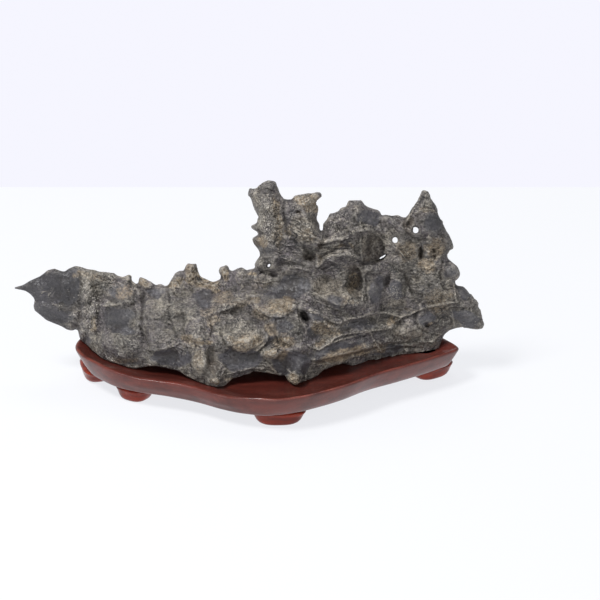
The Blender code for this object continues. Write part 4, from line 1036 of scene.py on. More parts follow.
@dataclass
class Foot:
    """A low cushion foot: a rounded oblong that swells upwards to two soft ears under the slab."""

    name: str
    plan: tuple[float, float]
    along: float
    share: float = 1.0
    height: float = 11.7
    sides: int = 96
    levels: int = 22
    # Height, half the length and half the depth.
    section: tuple[tuple[float, float, float], ...] = (
        (0.0, 12.0, 7.6), (0.5, 13.8, 8.8), (1.6, 15.9, 9.8), (3.4, 17.6, 10.4), (5.6, 18.8, 10.8), (7.6, 19.8, 11.4),
        (9.2, 21.0, 12.0), (10.0, 21.3, 12.1), (10.7, 19.6, 11.0), (11.7, 18.0, 10.2),
    )

    def build(self, shift: Array) -> bpy.types.Object:
        """Builds the foot: each level is the superellipse |x/a|^n + |y/b|^n = 1 of that height's size.

        Args:
            shift: What is added to its places, in millimetres.

        Returns:
            The foot.
        """
        heights, lengths, depths = (np.array(column) for column in zip(*self.section))
        lengths = lengths * self.share
        angle = np.linspace(0, 2 * math.pi, self.sides, endpoint=False)
        turn = math.radians(self.along)
        power = 2 / 2.7
        round_x = np.sign(np.cos(angle)) * np.abs(np.cos(angle)) ** power
        round_y = np.sign(np.sin(angle)) * np.abs(np.sin(angle)) ** power
        rings = []

        def ring(height: float, length: float, depth: float) -> Array:
            """One level of the foot."""
            x, y = round_x * length, round_y * depth
            return np.column_stack([
                self.plan[0] + x * math.cos(turn) - y * math.sin(turn),
                self.plan[1] + x * math.sin(turn) + y * math.cos(turn), np.full(self.sides, height),
            ])

        for share in (0.0, 0.35, 0.7, 0.93):
            rings.append(ring(self.height, lengths[-1] * share, depths[-1] * share))
        steps = 1 - (1 - np.linspace(0, 1, self.levels)) ** 1.6
        for height in self.height * (1 - steps):
            soft = 0.5 * max(0.0, 1 - (self.height - height) / 0.8)
            rings.append(ring(height, *(np.interp(height, heights, sizes) - soft for sizes in (lengths, depths))))
        for share in (0.93, 0.7, 0.35, 0.0):
            rings.append(ring(0.0, lengths[0] * share, depths[0] * share))
        return ring_surface(self.name + "_carved", rings, shift)


FEET = (
    Foot("foot_left_end", (-165, -1), -76.0), Foot("foot_left", (-130.5, -43.5), -33.0, 0.72),
    Foot("foot_front", (-16.5, -88.5), 2.0), Foot("foot_right", (105.5, 0.5), 35.0, 0.9),
    Foot("foot_rear_right", (60, 22), 172.0), Foot("foot_rear_left", (-112, 36), 184.0),
)


# ---------------------------------------------------------------- the rock


@dataclass
class RockSkin:
    """The rock's fine skin: a distance field over a grid, carved, then surfaced and chipped.

    The field is how far each place is outside the stone, in millimetres, and less than 0 inside it.
    """

    shift: Array
    slab: Slab
    step: float = 0.85
    margin: float = 7.0
    band: float = 8.5
    seat_gap: float = 0.1
    bore_ease: float = 1.0  # what the bores lose to softening, in view units
    # How far the rock's foot is let down so that it meets the dish: x and the drop, in millimetres.
    skirt: Line = (
        (-62, 0), (-56, 2.3), (-16, 2.3), (-8, 0), (10, 0), (20, 1.7), (50, 1.7), (60, 4.3), (80, 5.6),
        (100, 7.5), (110, 10.0), (114, 0),
    )
    skirt_top: float = 36.0
    most_faces: int = 197000
    sheet: Sheet = field(default_factory=Sheet)

    def __post_init__(self) -> None:
        """Works out the sheets of the front drawing."""
        sheet = self.sheet
        self.inside = inside_of(sheet.u, sheet.v, [*SKYLINE, *UNDERSIDE])
        for bore in BORES:
            away = (bore.radius(sheet.u, sheet.v) - 1) * min(bore.half_width, bore.half_height)
            self.inside = np.minimum(self.inside, away - self.bore_ease)
        bend_u = sheet.u + 1.3 * sheet.noise(14, 1) + 0.5 * sheet.noise(4.5, 2)
        bend_v = sheet.v + 1.3 * sheet.noise(14, 3) + 0.5 * sheet.noise(4.5, 4)
        places, middles, halves = (np.array(column) for column in zip(*WALL))
        wobble = 2.2 * sheet.noise(34, 5)
        self.wall_depth = DRAWING.depth_of(sheet.v, np.interp(sheet.u, places, middles) + wobble).astype(np.float32)
        rise = np.sqrt(ease(self.inside / WALL_RISE * (1 + 0.3 * sheet.noise(11, 6))))
        self.wall_half = (WALL_EDGE + (np.interp(sheet.u, places, halves) - WALL_EDGE) * rise).astype(np.float32)
        self.relief = np.zeros(sheet.u.shape, np.float32)
        for row in FACE_SPOTS:
            window, height = Spot(*row).relief(sheet, bend_u, bend_v)
            self.relief[window] += height
        self.lines, self.veins = np.zeros(sheet.u.shape, np.float32), np.zeros(sheet.u.shape, np.float32)
        bend_u, bend_v = sheet.u + 0.5 * sheet.noise(6, 2), sheet.v + 0.5 * sheet.noise(6, 4)
        for row in FACE_STROKES:
            stroke = Stroke(*row)
            window, height = stroke.relief(sheet, bend_u, bend_v)
            self.lines[window] += height
            if stroke.pale:
                window, share = stroke.vein(sheet, bend_u, bend_v)
                self.veins[window] = np.maximum(self.veins[window], share)
        self.finishes = {finish: np.zeros(sheet.u.shape, np.float32) for finish in Finish}
        loose_u = sheet.u + 3.4 * sheet.noise(12, 7) + 1.8 * sheet.noise(5, 8)
        loose_v = sheet.v + 3.4 * sheet.noise(12, 9) + 1.8 * sheet.noise(5, 10)
        for finish, rows in PATCHES.items():
            held = self.finishes[finish]
            for *ellipse, amount in rows:
                window, share = Spot(*ellipse, 1).spread(sheet, loose_u, loose_v, 0.8)
                held[window] = np.maximum(held[window], share * amount)
        self.veins *= 0.75 + 0.45 * sheet.noise(9, 3)

    def grid_of(self, node: bpy.types.Object) -> None:
        """Lays the grid over the node's box and measures the field of its solid there.

        Args:
            node: The rock's plain solid.
        """
        mesh = node.data
        mesh.calc_loop_triangles()
        triangles = np.empty(len(mesh.loop_triangles) * 3, np.int32)
        mesh.loop_triangles.foreach_get("vertices", triangles)
        points, merged = np.unique(np.round(points_of(mesh) / MM - self.shift, 3), axis=0, return_inverse=True)
        triangles = merged.reshape(-1)[triangles].reshape(-1, 3)
        self.low = points.min(axis=0) - self.margin
        shape = np.ceil((points.max(axis=0) + self.margin - self.low) / self.step).astype(int) + 1
        self.x, self.y, self.z = (self.low[k] + np.arange(shape[k]) * self.step for k in range(3))
        volume = openvdb.FloatGrid.createLevelSetFromPolygons(
            (points - self.low).astype(np.float32), triangles=triangles.astype(np.uint32),
            transform=openvdb.createLinearTransform(voxelSize=self.step), halfWidth=self.band / self.step + 1.5,
        )
        self.solid = np.empty(tuple(shape), np.float32)
        volume.copyToArray(self.solid, ijk=(0, 0, 0))

    def soften(self, values: Array, times: int) -> Array:
        """The field averaged with its neighbours, 1-2-1 along each axis, so that the solid's facets go."""
        for _ in range(times):
            for axis in range(3):
                values = np.moveaxis(values, axis, 0)
                fresh = values.copy()
                fresh[1:-1] = (values[:-2] + 2 * values[1:-1] + values[2:]) / 4
                values = np.moveaxis(fresh, 0, axis)
        return np.ascontiguousarray(values)

    def view_places(self, index: tuple[Array, Array, Array]) -> tuple[Array, Array, Array]:
        """The u, v and depth of grid places."""
        y, z = (self.y - DRAWING.eye[1])[:, None], (self.z - DRAWING.eye[2])[None, :]
        depth = (y * DRAWING.ahead[1] + z * DRAWING.ahead[2]).astype(np.float32)
        scale = depth * np.float32(DRAWING.unit / DRAWING.distance)
        v = (DRAWING.width / 2 - (y * DRAWING.upward[1] + z * DRAWING.upward[2]) / scale).astype(np.float32)
        i, j, k = index
        u = (DRAWING.width / 2 + self.x.astype(np.float32)[i] / scale[j, k]).astype(np.float32)
        return u, v[j, k], depth[j, k]

    def carve(self) -> None:
        """Carves the field: the skyline's walls are joined on, the face's forms raised, the rear broken up,
        and what is past the outline, in a bore or under the dish is cut away."""
        self.solid = self.soften(self.solid, 5)
        index = np.nonzero(np.abs(self.solid) < self.band)
        places = np.stack([self.x[index[0]], self.y[index[1]], self.z[index[2]]], axis=1)
        u, v, depth = self.view_places(index)
        middle = self.sheet.at(self.wall_depth, u, v)
        inside = self.sheet.at(self.inside, u, v)
        wall = np.abs(depth - middle) - self.sheet.at(self.wall_half, u, v)
        wall = np.where(inside > -3, wall, 9.0).astype(np.float32)
        joined = self.solid.copy()
        joined[index] = soft_union(self.solid[index], wall, 2.5)
        slope_y = np.gradient(joined, self.step, axis=1)[index]
        slope_z = np.gradient(joined, self.step, axis=2)[index]
        facing = np.clip(-(slope_y * DRAWING.ahead[1] + slope_z * DRAWING.ahead[2]), 0, 1)
        behind = ease((depth - middle + 2.0) / 7.0)
        relief = self.sheet.at(self.relief, u, v) * np.sqrt(facing) * (1 - behind)
        edge = ease((inside - 1.0) / 7.0)
        rough = layered_noise(places, 30.0, 1, 3) * 2.4 + ridged_noise(places, 22.0, 5, 2) * -3.2 + 1.2
        lumps = layered_noise(places * np.array([0.7, 1.0, 1.25]), 9.0, 3, 2) * 1.5
        calm = 1 - 0.8 * self.sheet.at(self.finishes[Finish.SMOOTH], u, v)
        noise = behind * (rough + lumps) + (1 - behind) * lumps * 0.3 * calm
        fresh = joined[index] - relief - noise * (0.15 + 0.85 * edge)
        fresh = np.maximum(fresh, -(inside + 0.7) * DRAWING.unit)
        joined[index] = fresh
        low = int(np.searchsorted(self.z, self.skirt_top))
        drops = np.interp(self.x, *zip(*self.skirt)) / self.step
        for drop in range(1, int(drops.max()) + 1):
            held = joined[drops >= drop]
            held[:, :, :low] = np.minimum(held[:, :, :low], joined[drops >= drop, :, drop : low + drop])
            joined[drops >= drop] = held
        floor = self.slab.dish_height(*np.meshgrid(self.x, self.y, indexing="ij")) + self.seat_gap
        self.solid = self.soften(joined, 1)
        self.solid = np.maximum(self.solid, (floor[:, :, None] - self.z[None, None, :]).astype(np.float32))

    def surface(self) -> tuple[Array, Array]:
        """The field's zero surface as points in millimetres and quads that face outwards."""
        volume = openvdb.FloatGrid(self.band)
        volume.transform = openvdb.createLinearTransform(voxelSize=self.step)
        volume.copyFromArray(self.solid, ijk=(0, 0, 0))
        points, quads = volume.convertToQuads(isovalue=0.0)
        keep = largest_part(len(points), quads)
        fresh = np.cumsum(keep) - 1
        quads = fresh[quads[keep[quads[:, 0]]]]
        points = points[keep].astype(np.float64) + self.low
        a, b, c = (points[quads[:, k]] for k in range(3))
        if np.einsum("ij,ij->i", a - points.mean(axis=0), np.cross(b - a, c - a)).sum() < 0:
            quads = quads[:, ::-1]
        return points, quads

    def field_at(self, values: Array, points: Array) -> Array:
        """The grid's values at points, straight between its corners."""
        at = np.clip((points - self.low) / self.step, 0, np.array(values.shape) - 1.001)
        cell = at.astype(np.int32)
        total = np.zeros(len(points), np.float32)
        for step, weight in corners((at - cell).astype(np.float32)):
            total += weight * values[tuple(cell[:, axis] + step[axis] for axis in range(3))]
        return total

    def normals(self, points: Array) -> Array:
        """The field's slope at points, as unit vectors."""
        slope = np.stack([
            self.field_at(self.solid, points + step) - self.field_at(self.solid, points - step)
            for step in np.eye(3) * self.step
        ], axis=1)
        return slope / np.maximum(np.linalg.norm(slope, axis=1), 1e-6)[:, None]

    def crowding(self, points: Array, reach: float) -> Array:
        """How much stone is round each point: 0.5 on a flat face, more in a hollow and less on an edge.

        Args:
            points: Places (n, 3).
            reach: Half the side of the box that is averaged, in millimetres.

        Returns:
            The average over the box of 1 inside the stone and 0 outside it.
        """
        filled = np.clip(0.5 - self.solid / (2 * self.step), 0, 1).astype(np.float32)
        count = max(1, int(reach / self.step))
        for axis in range(3):
            filled = np.moveaxis(filled, axis, 0)
            summed = np.cumsum(np.concatenate([np.zeros_like(filled[:1]), filled]), axis=0, dtype=np.float64)
            size = len(filled)
            low = np.clip(np.arange(size) - count, 0, size)
            high = np.clip(np.arange(size) + count + 1, 0, size)
            filled = ((summed[high] - summed[low]) / (2 * count + 1)).astype(np.float32)
            filled = np.moveaxis(filled, 0, axis)
        return self.field_at(filled, points)

    def masks(self, points: Array) -> dict[Finish | str, Array]:
        """Each finish's share at points: from the front drawing on the face, and from noise behind it.

        Args:
            points: Places (n, 3), in millimetres.

        Returns:
            Values (n,) for each finish, and for "vein", "inside" and "behind".
        """
        u, v = DRAWING.in_view(points)
        behind = ease((DRAWING.depth(points) - self.sheet.at(self.wall_depth, u, v) + 1.0) / 6.0)
        made: dict[Finish | str, Array] = {
            finish: self.sheet.at(values, u, v) * (1 - behind) for finish, values in self.finishes.items()
        }
        broad, fine = layered_noise(points, 38.0, 2, 3), layered_noise(points, 13.0, 6, 2)
        crest = ease((points[:, 2] - 70) / 60)
        made[Finish.CRUST] += behind * ease((broad + 0.35 * fine + 0.25 * crest - 0.12) * 4) * 0.8
        made[Finish.SMOOTH] = ease(made[Finish.SMOOTH] * 1.7 - 0.1)
        made[Finish.SMOOTH] += behind * ease((-broad - 0.5 * fine - 0.15) * 4) * 0.8
        made[Finish.NODULES] += behind * ease((layered_noise(points, 24.0, 8, 2) - 0.1) * 4)
        made[Finish.LAYERS] += behind * ease((layered_noise(points, 30.0, 9, 2) - 0.1) * 4) * 0.8
        made[Finish.BUFF] += behind * ease((layered_noise(points, 33.0, 17, 2) - 0.05) * 4) * 0.7
        made[Finish.PALE] += behind * ease((fine + 0.4 * broad - 0.42) * 5) * 0.6
        vein = ridged_noise(points * np.array([0.5, 1.0, 1.2]), 26.0, 4, 1)
        made["vein"] = self.sheet.at(self.veins, u, v) * (1 - behind) + behind * ease((vein - 0.9) * 10) * 0.7
        made["inside"] = self.sheet.at(self.inside, u, v)
        made["behind"] = behind
        return made

    def chip(self, points: Array) -> Array:
        """Moves points along their normals: flat chips, knobs, thin layers and worn pits, each where its
        finish is.

        Args:
            points: Places (n, 3), in millimetres.

        Returns:
            The moved places. Height = tilt of the chip's plane + dome of the knob + wave across the layers.
        """
        share = self.masks(points)
        smooth, knobs, layers = share[Finish.SMOOTH], share[Finish.NODULES], share[Finish.LAYERS]
        even = np.maximum(smooth, np.maximum(0.75 * share[Finish.BUFF], 0.8 * share[Finish.BROWN]))
        behind, rough = share["behind"], 1 - 0.9 * even
        knobs = knobs**2
        normals = self.normals(points)
        u, v = DRAWING.in_view(points)
        facing = np.clip(-(normals @ DRAWING.ahead), 0, 1)
        blocks = Chips(points, 15.0, 14, (1.5, 1.0, 0.7))
        large = Chips(points, 7.5, 11, (1.6, 1.0, 0.7))
        small = Chips(points, 3.4, 12, (1.3, 1.0, 0.8))
        grain = Chips(points, 2.7, 13)
        height = rough * (blocks.tilt * (0.45 + 1.75 * behind) + large.tilt * (0.6 + 0.9 * behind))
        height -= (1 - large.seam()) * (0.15 + 0.2 * behind) * rough
        height += small.tilt * (0.5 + 0.1 * behind) * rough * (1 - 0.4 * knobs)
        height += knobs * (grain.dome() * 1.4 - 0.45 + (grain.share - 0.5) * 0.8)
        bend = layered_noise(points, 26.0, 7, 2)
        phase = (points[:, 2] + 0.22 * points[:, 0] + 0.3 * points[:, 1]) / 2.3 + 2.1 * bend
        saw = phase - np.floor(phase)
        broken = np.clip(0.5 + 1.6 * layered_noise(points, 12.0, 15, 2), 0, 1)
        height += (np.minimum(saw * 1.25, (1 - saw) * 5) - 0.5) * (0.34 * broken + 0.6 * layers) * rough
        height += layered_noise(points, 3.0, 3, 2) * 0.3 * rough
        height += self.sheet.at(self.lines, u, v) * facing**0.25 * (1 - behind)
        edge = ease(share["inside"] / 5.0)
        height *= 0.3 + 0.7 * np.maximum(edge, behind)
        moved = points + normals * height[:, None]
        floor = self.slab.dish_height(moved[:, 0], moved[:, 1]) + self.seat_gap
        lifted = np.maximum(moved[:, 2], np.minimum(floor, points[:, 2] + 1))
        moved[:, 2] = np.where(points[:, 2] < 40, lifted, moved[:, 2])
        return moved

    def build(self, node: bpy.types.Object) -> bpy.types.Object:
        """Builds the skin over the rock's plain solid.

        Args:
            node: That solid.

        Returns:
            The skin, with the colour attributes that its material reads.
        """
        self.grid_of(node)
        LOG.info("rock: field of %d x %d x %d places", *self.solid.shape)
        self.carve()
        points, quads = self.surface()
        LOG.info("rock: surfaced with %d points", len(points))
        points = self.chip(points)
        obj = make_mesh("rock_skin", (points + self.shift) * MM, quads)
        thin = obj.modifiers.new("even_out", "DECIMATE")
        thin.ratio = min(1.0, self.most_faces / (2.0 * len(quads)))
        graph = bpy.context.evaluated_depsgraph_get()
        mesh = bpy.data.meshes.new_from_object(obj.evaluated_get(graph))
        obj.modifiers.clear()
        obj.data = mesh
        LOG.info("rock: %d triangles before evening out", 2 * len(quads))
        self.colour(mesh)
        mesh.polygons.foreach_set("use_smooth", np.ones(len(mesh.polygons), bool))
        mesh.set_sharp_from_angle(angle=math.radians(34))
        return obj

    def bulge(self, mesh: bpy.types.Mesh, rounds: int) -> Array:
        """How far each vertex stands out of the mean of those round it, in millimetres.

        Args:
            mesh: The skin's mesh, in metres.
            rounds: How many times each vertex is drawn halfway to its neighbours' mean first.

        Returns:
            Values (n,), less than 0 in a crease.
        """
        points = points_of(mesh) / MM
        ends = np.empty(2 * len(mesh.edges), np.int32)
        mesh.edges.foreach_get("vertices", ends)
        a, b = ends[0::2], ends[1::2]
        degree = np.bincount(ends, minlength=len(points))
        mean = points.copy()
        for _ in range(rounds):
            total = np.stack([
                np.bincount(a, mean[b, k], len(points)) + np.bincount(b, mean[a, k], len(points)) for k in range(3)
            ], axis=1)
            mean = 0.5 * mean + 0.5 * total / np.maximum(degree, 1)[:, None]
        return ((points - mean) * self.normals(points - self.shift)).sum(axis=1)

    def colour(self, mesh: bpy.types.Mesh) -> None:
        """Stores what the stone's material needs to know about each vertex.

        Args:
            mesh: The skin's mesh, in metres.
        """
        points = points_of(mesh) / MM - self.shift
        share = self.masks(points)
        fine, wide = self.bulge(mesh, 2), self.bulge(mesh, 14)
        broad = self.crowding(points, 7.0)
        # cavity, and the crowding stored beside it, carry painted shade for the creases and hollows
        cavity = ease(-fine * 7.0) * 0.5 + ease(-wide * 1.1) * 0.35
        edge = ease(fine * 7.0) * 0.6 + ease(wide * 1.1) * 0.35
        store(mesh, "stone_a", (share[Finish.CRUST], share[Finish.PALE], share[Finish.BROWN], share[Finish.SMOOTH]))
        store(mesh, "stone_b", (share[Finish.NODULES], share[Finish.DARK], share["vein"]))
        store(mesh, "stone_c", (cavity, edge, ease((broad - 0.5) * 3.6), share[Finish.BUFF]))


# ---------------------------------------------------------------- finishes

Value = "Wire | float | Sequence[float]"
Colour = tuple[float, float, float]


@dataclass(frozen=True)
class Wire:
    """A node's output. Sums and products of wires are laid out as further nodes."""

    board: Board
    socket: bpy.types.NodeSocket

    def maths(self, operation: str, other: Value = 0.0) -> Wire:
        """The result of an operation with another value."""
        return self.board.maths(operation, self, other)

    def __add__(self, other: Value) -> Wire:
        """The sum of the two."""
        return self.maths("ADD", other)

    def __sub__(self, other: Value) -> Wire:
        """This less the other."""
        return self.maths("SUBTRACT", other)

    def __rsub__(self, other: Value) -> Wire:
        """The other less this."""
        return self.board.maths("SUBTRACT", other, self)

    def __mul__(self, other: Value) -> Wire:
        """The product of the two."""
        return self.maths("MULTIPLY", other)

    def __abs__(self) -> Wire:
        """Its size without its sign."""
        return self.maths("ABSOLUTE")

    def held(self) -> Wire:
        """The same value, kept between 0 and 1."""
        self.socket.node.use_clamp = True
        return self

    def ramp(self, low: float, high: float) -> Wire:
        """The value stretched so that low becomes 0 and high becomes 1, and held between them."""
        names = {"Value": self, "From Min": low, "From Max": high}
        return self.board.wire("ShaderNodeMapRange", "Result", None, **names)


@dataclass(frozen=True)
class Board:
    """A node tree that is being laid out."""

    tree: bpy.types.NodeTree

    def put(self, socket: bpy.types.NodeSocket, value: Value) -> None:
        """Links a socket to a wire, or sets its own value."""
        if isinstance(value, Wire):
            self.tree.links.new(value.socket, socket)
        else:
            socket.default_value = (*value, 1.0) if socket.type == "RGBA" and len(value) == 3 else value

    def node(self, kind: str, settings: dict[str, object] | None = None, **inputs: Value) -> bpy.types.Node:
        """Adds a node.

        Args:
            kind: Its type, such as "ShaderNodeTexNoise".
            settings: Its own properties.
            **inputs: Its inputs by name.

        Returns:
            The node.
        """
        made = self.tree.nodes.new(kind)
        for name, value in (settings or {}).items():
            setattr(made, name, value)
        for name, value in inputs.items():
            self.put(made.inputs[name], value)
        return made

    def outputs(self, node: bpy.types.Node) -> dict[str, Wire]:
        """A node's outputs by name."""
        return {socket.name: Wire(self, socket) for socket in node.outputs if socket.enabled}

    def wire(self, kind: str, output: str, settings: dict[str, object] | None = None, **inputs: Value) -> Wire:
        """Adds a node and returns one of its outputs."""
        return self.outputs(self.node(kind, settings, **inputs))[output]

    def maths(self, operation: str, a: Value, b: Value) -> Wire:
        """The result of a sum, product or other operation on two values."""
        made = self.node("ShaderNodeMath", {"operation": operation})
        self.put(made.inputs[0], a)
        self.put(made.inputs[1], b)
        return Wire(self, made.outputs[0])

    def vector(self, operation: str, a: Value, b: Value) -> Wire:
        """The result of an operation on two vectors: a vector, or a value for a dot product."""
        made = self.node("ShaderNodeVectorMath", {"operation": operation})
        self.put(made.inputs[0], a)
        self.put(made.inputs[1], b)
        return Wire(self, made.outputs["Value" if operation == "DOT_PRODUCT" else "Vector"])

    def mix(self, share: Value, a: Value, b: Value) -> Wire:
        """Two colours mixed: a where share is 0 and b where it is 1."""
        made = self.node("ShaderNodeMix", {"data_type": "RGBA", "clamp_factor": True})
        for index, value in ((0, share), (6, a), (7, b)):
            self.put(made.inputs[index], value)
        return Wire(self, made.outputs[2])

    def layered(self, colour: Value, layers: Sequence[tuple[Value, Value]]) -> Value:
        """A colour with others laid over it in turn, each by its share."""
        for share, over in layers:
            colour = self.mix(share, colour, over)
        return colour

    def noise(self, place: Value, scale: Value, detail: float = 3.0, rough: float = 0.55, output: str = "Fac") -> Wire:
        """Cloudy noise about 0.5, scale to the metre."""
        return self.wire("ShaderNodeTexNoise", output, None, Vector=place, Scale=scale, Detail=detail, Roughness=rough)

    def cells(self, place: Value, scale: Value, feature: str = "F1") -> dict[str, Wire]:
        """Cells round scattered seeds, scale to the metre."""
        return self.outputs(self.node("ShaderNodeTexVoronoi", {"feature": feature}, Vector=place, Scale=scale))

    def channels(self, attribute: str) -> list[Wire]:
        """The four channels of a colour attribute."""
        read = self.outputs(self.node("ShaderNodeAttribute", {"attribute_name": attribute}))
        split = self.outputs(self.node("ShaderNodeSeparateColor", None, Color=read["Color"]))
        return [*list(split.values())[:3], read["Alpha"]]

    def bump(self, shader: bpy.types.Node, height: Wire, strength: float, distance: float) -> None:
        """Gives the shader a relief, distance in metres."""
        normal = self.wire("ShaderNodeBump", "Normal", None, Height=height, Strength=strength, Distance=distance)
        self.put(shader.inputs["Normal"], normal)


def bent_by(board: Board, place: Wire, colour: Wire, reach: float) -> Wire:
    """A place moved by up to half of reach along each axis, by a noise's colour."""
    shift = board.vector("MULTIPLY", board.vector("SUBTRACT", colour, (0.5, 0.5, 0.5)), (reach, reach, reach))
    return board.vector("ADD", place, shift)


class Effect:
    """The effects that more than one finish or place uses. Each becomes a node group, built once."""

    @staticmethod
    def worn_edges(place: Wire, scale: Wire, edge: Wire, amount: Wire) -> dict[str, Wire]:
        """Wear that breaks up along an edge: the edge's mask where coarse and fine noise let it show."""
        broken = place.board.noise(place, scale, 4.0, 0.5).ramp(0.38, 0.62)
        return {"Mask": (edge * broken * amount).held()}

    @staticmethod
    def mottle(place: Wire, scale: Wire) -> dict[str, Wire]:
        """Broad and fine mottling, as two values about 0.5, for a finish that is never one even colour."""
        board = place.board
        return {"Broad": board.noise(place, scale, 3.0, 0.5), "Fine": board.noise(place, scale * 9.0, 5.0, 0.65)}

    @staticmethod
    def facets(place: Wire, scale: Wire) -> dict[str, Wire]:
        """Small flat faces, each tilted its own way: Height = (the cell's random direction) . (place - its seed),
        and Tone = a random share for each face."""
        board = place.board
        cells = board.cells(place, scale)
        away = board.vector("SUBTRACT", place, cells["Position"])
        lean = board.vector("SUBTRACT", cells["Color"], (0.5, 0.5, 0.5))
        tone = board.wire("ShaderNodeSeparateColor", "Red", None, Color=cells["Color"])
        return {"Height": board.vector("DOT_PRODUCT", away, lean) * scale, "Tone": tone}

    @staticmethod
    def fractures(place: Wire, scale: Wire) -> dict[str, Wire]:
        """Hairline fractures between bent cells, as two masks: Pale where the line is healed with mineral, and
        Dark where it is open. Each shows along a part of its length only."""
        board = place.board
        bent = bent_by(board, place, board.noise(place, scale, 3.0, 0.5, "Color"), 0.008)
        away = board.cells(bent, scale, "DISTANCE_TO_EDGE")["Distance"]
        line = away.maths("DIVIDE", scale).ramp(0.00042, 0.00012)
        chance = board.noise(place, scale * 0.55, 2.0, 0.5)
        return {"Pale": line * chance.ramp(0.52, 0.58), "Dark": line * chance.ramp(0.47, 0.41)}

    @staticmethod
    def place(effect: Callable[..., dict[str, Wire]], **inputs: Value) -> dict[str, Wire]:
        """Places an effect in a material, and builds its group the first time.

        Args:
            effect: One of the effects.
            **inputs: Its inputs, of which place is a wire of the material's board.

        Returns:
            Its outputs by name.
        """
        board = inputs["place"].board
        tree = bpy.data.node_groups.get(effect.__name__)
        if tree is None:
            tree = bpy.data.node_groups.new(effect.__name__, "ShaderNodeTree")
            for title in inputs:
                kind = "NodeSocketVector" if title == "place" else "NodeSocketFloat"
                tree.interface.new_socket(name=title, in_out="INPUT", socket_type=kind)
            inside = Board(tree)
            given = inside.outputs(tree.nodes.new("NodeGroupInput"))
            made = effect(**{title: given[title] for title in inputs})
            for title in made:
                tree.interface.new_socket(name=title, in_out="OUTPUT", socket_type="NodeSocketFloat")
            out = tree.nodes.new("NodeGroupOutput")
            for title, wire in made.items():
                inside.put(out.inputs[title], wire)
        return board.outputs(board.node("ShaderNodeGroup", {"node_tree": tree}, **inputs))


def fresh_material(name: str) -> tuple[bpy.types.Material, Board, bpy.types.Node]:
    """A material with a bare Principled shader.

    Args:
        name: Its name.

    Returns:
        The material, the board of its nodes, and the shader.
    """
    material = bpy.data.materials.new(name)
    material.use_nodes = True
    return material, Board(material.node_tree), material.node_tree.nodes["Principled BSDF"]


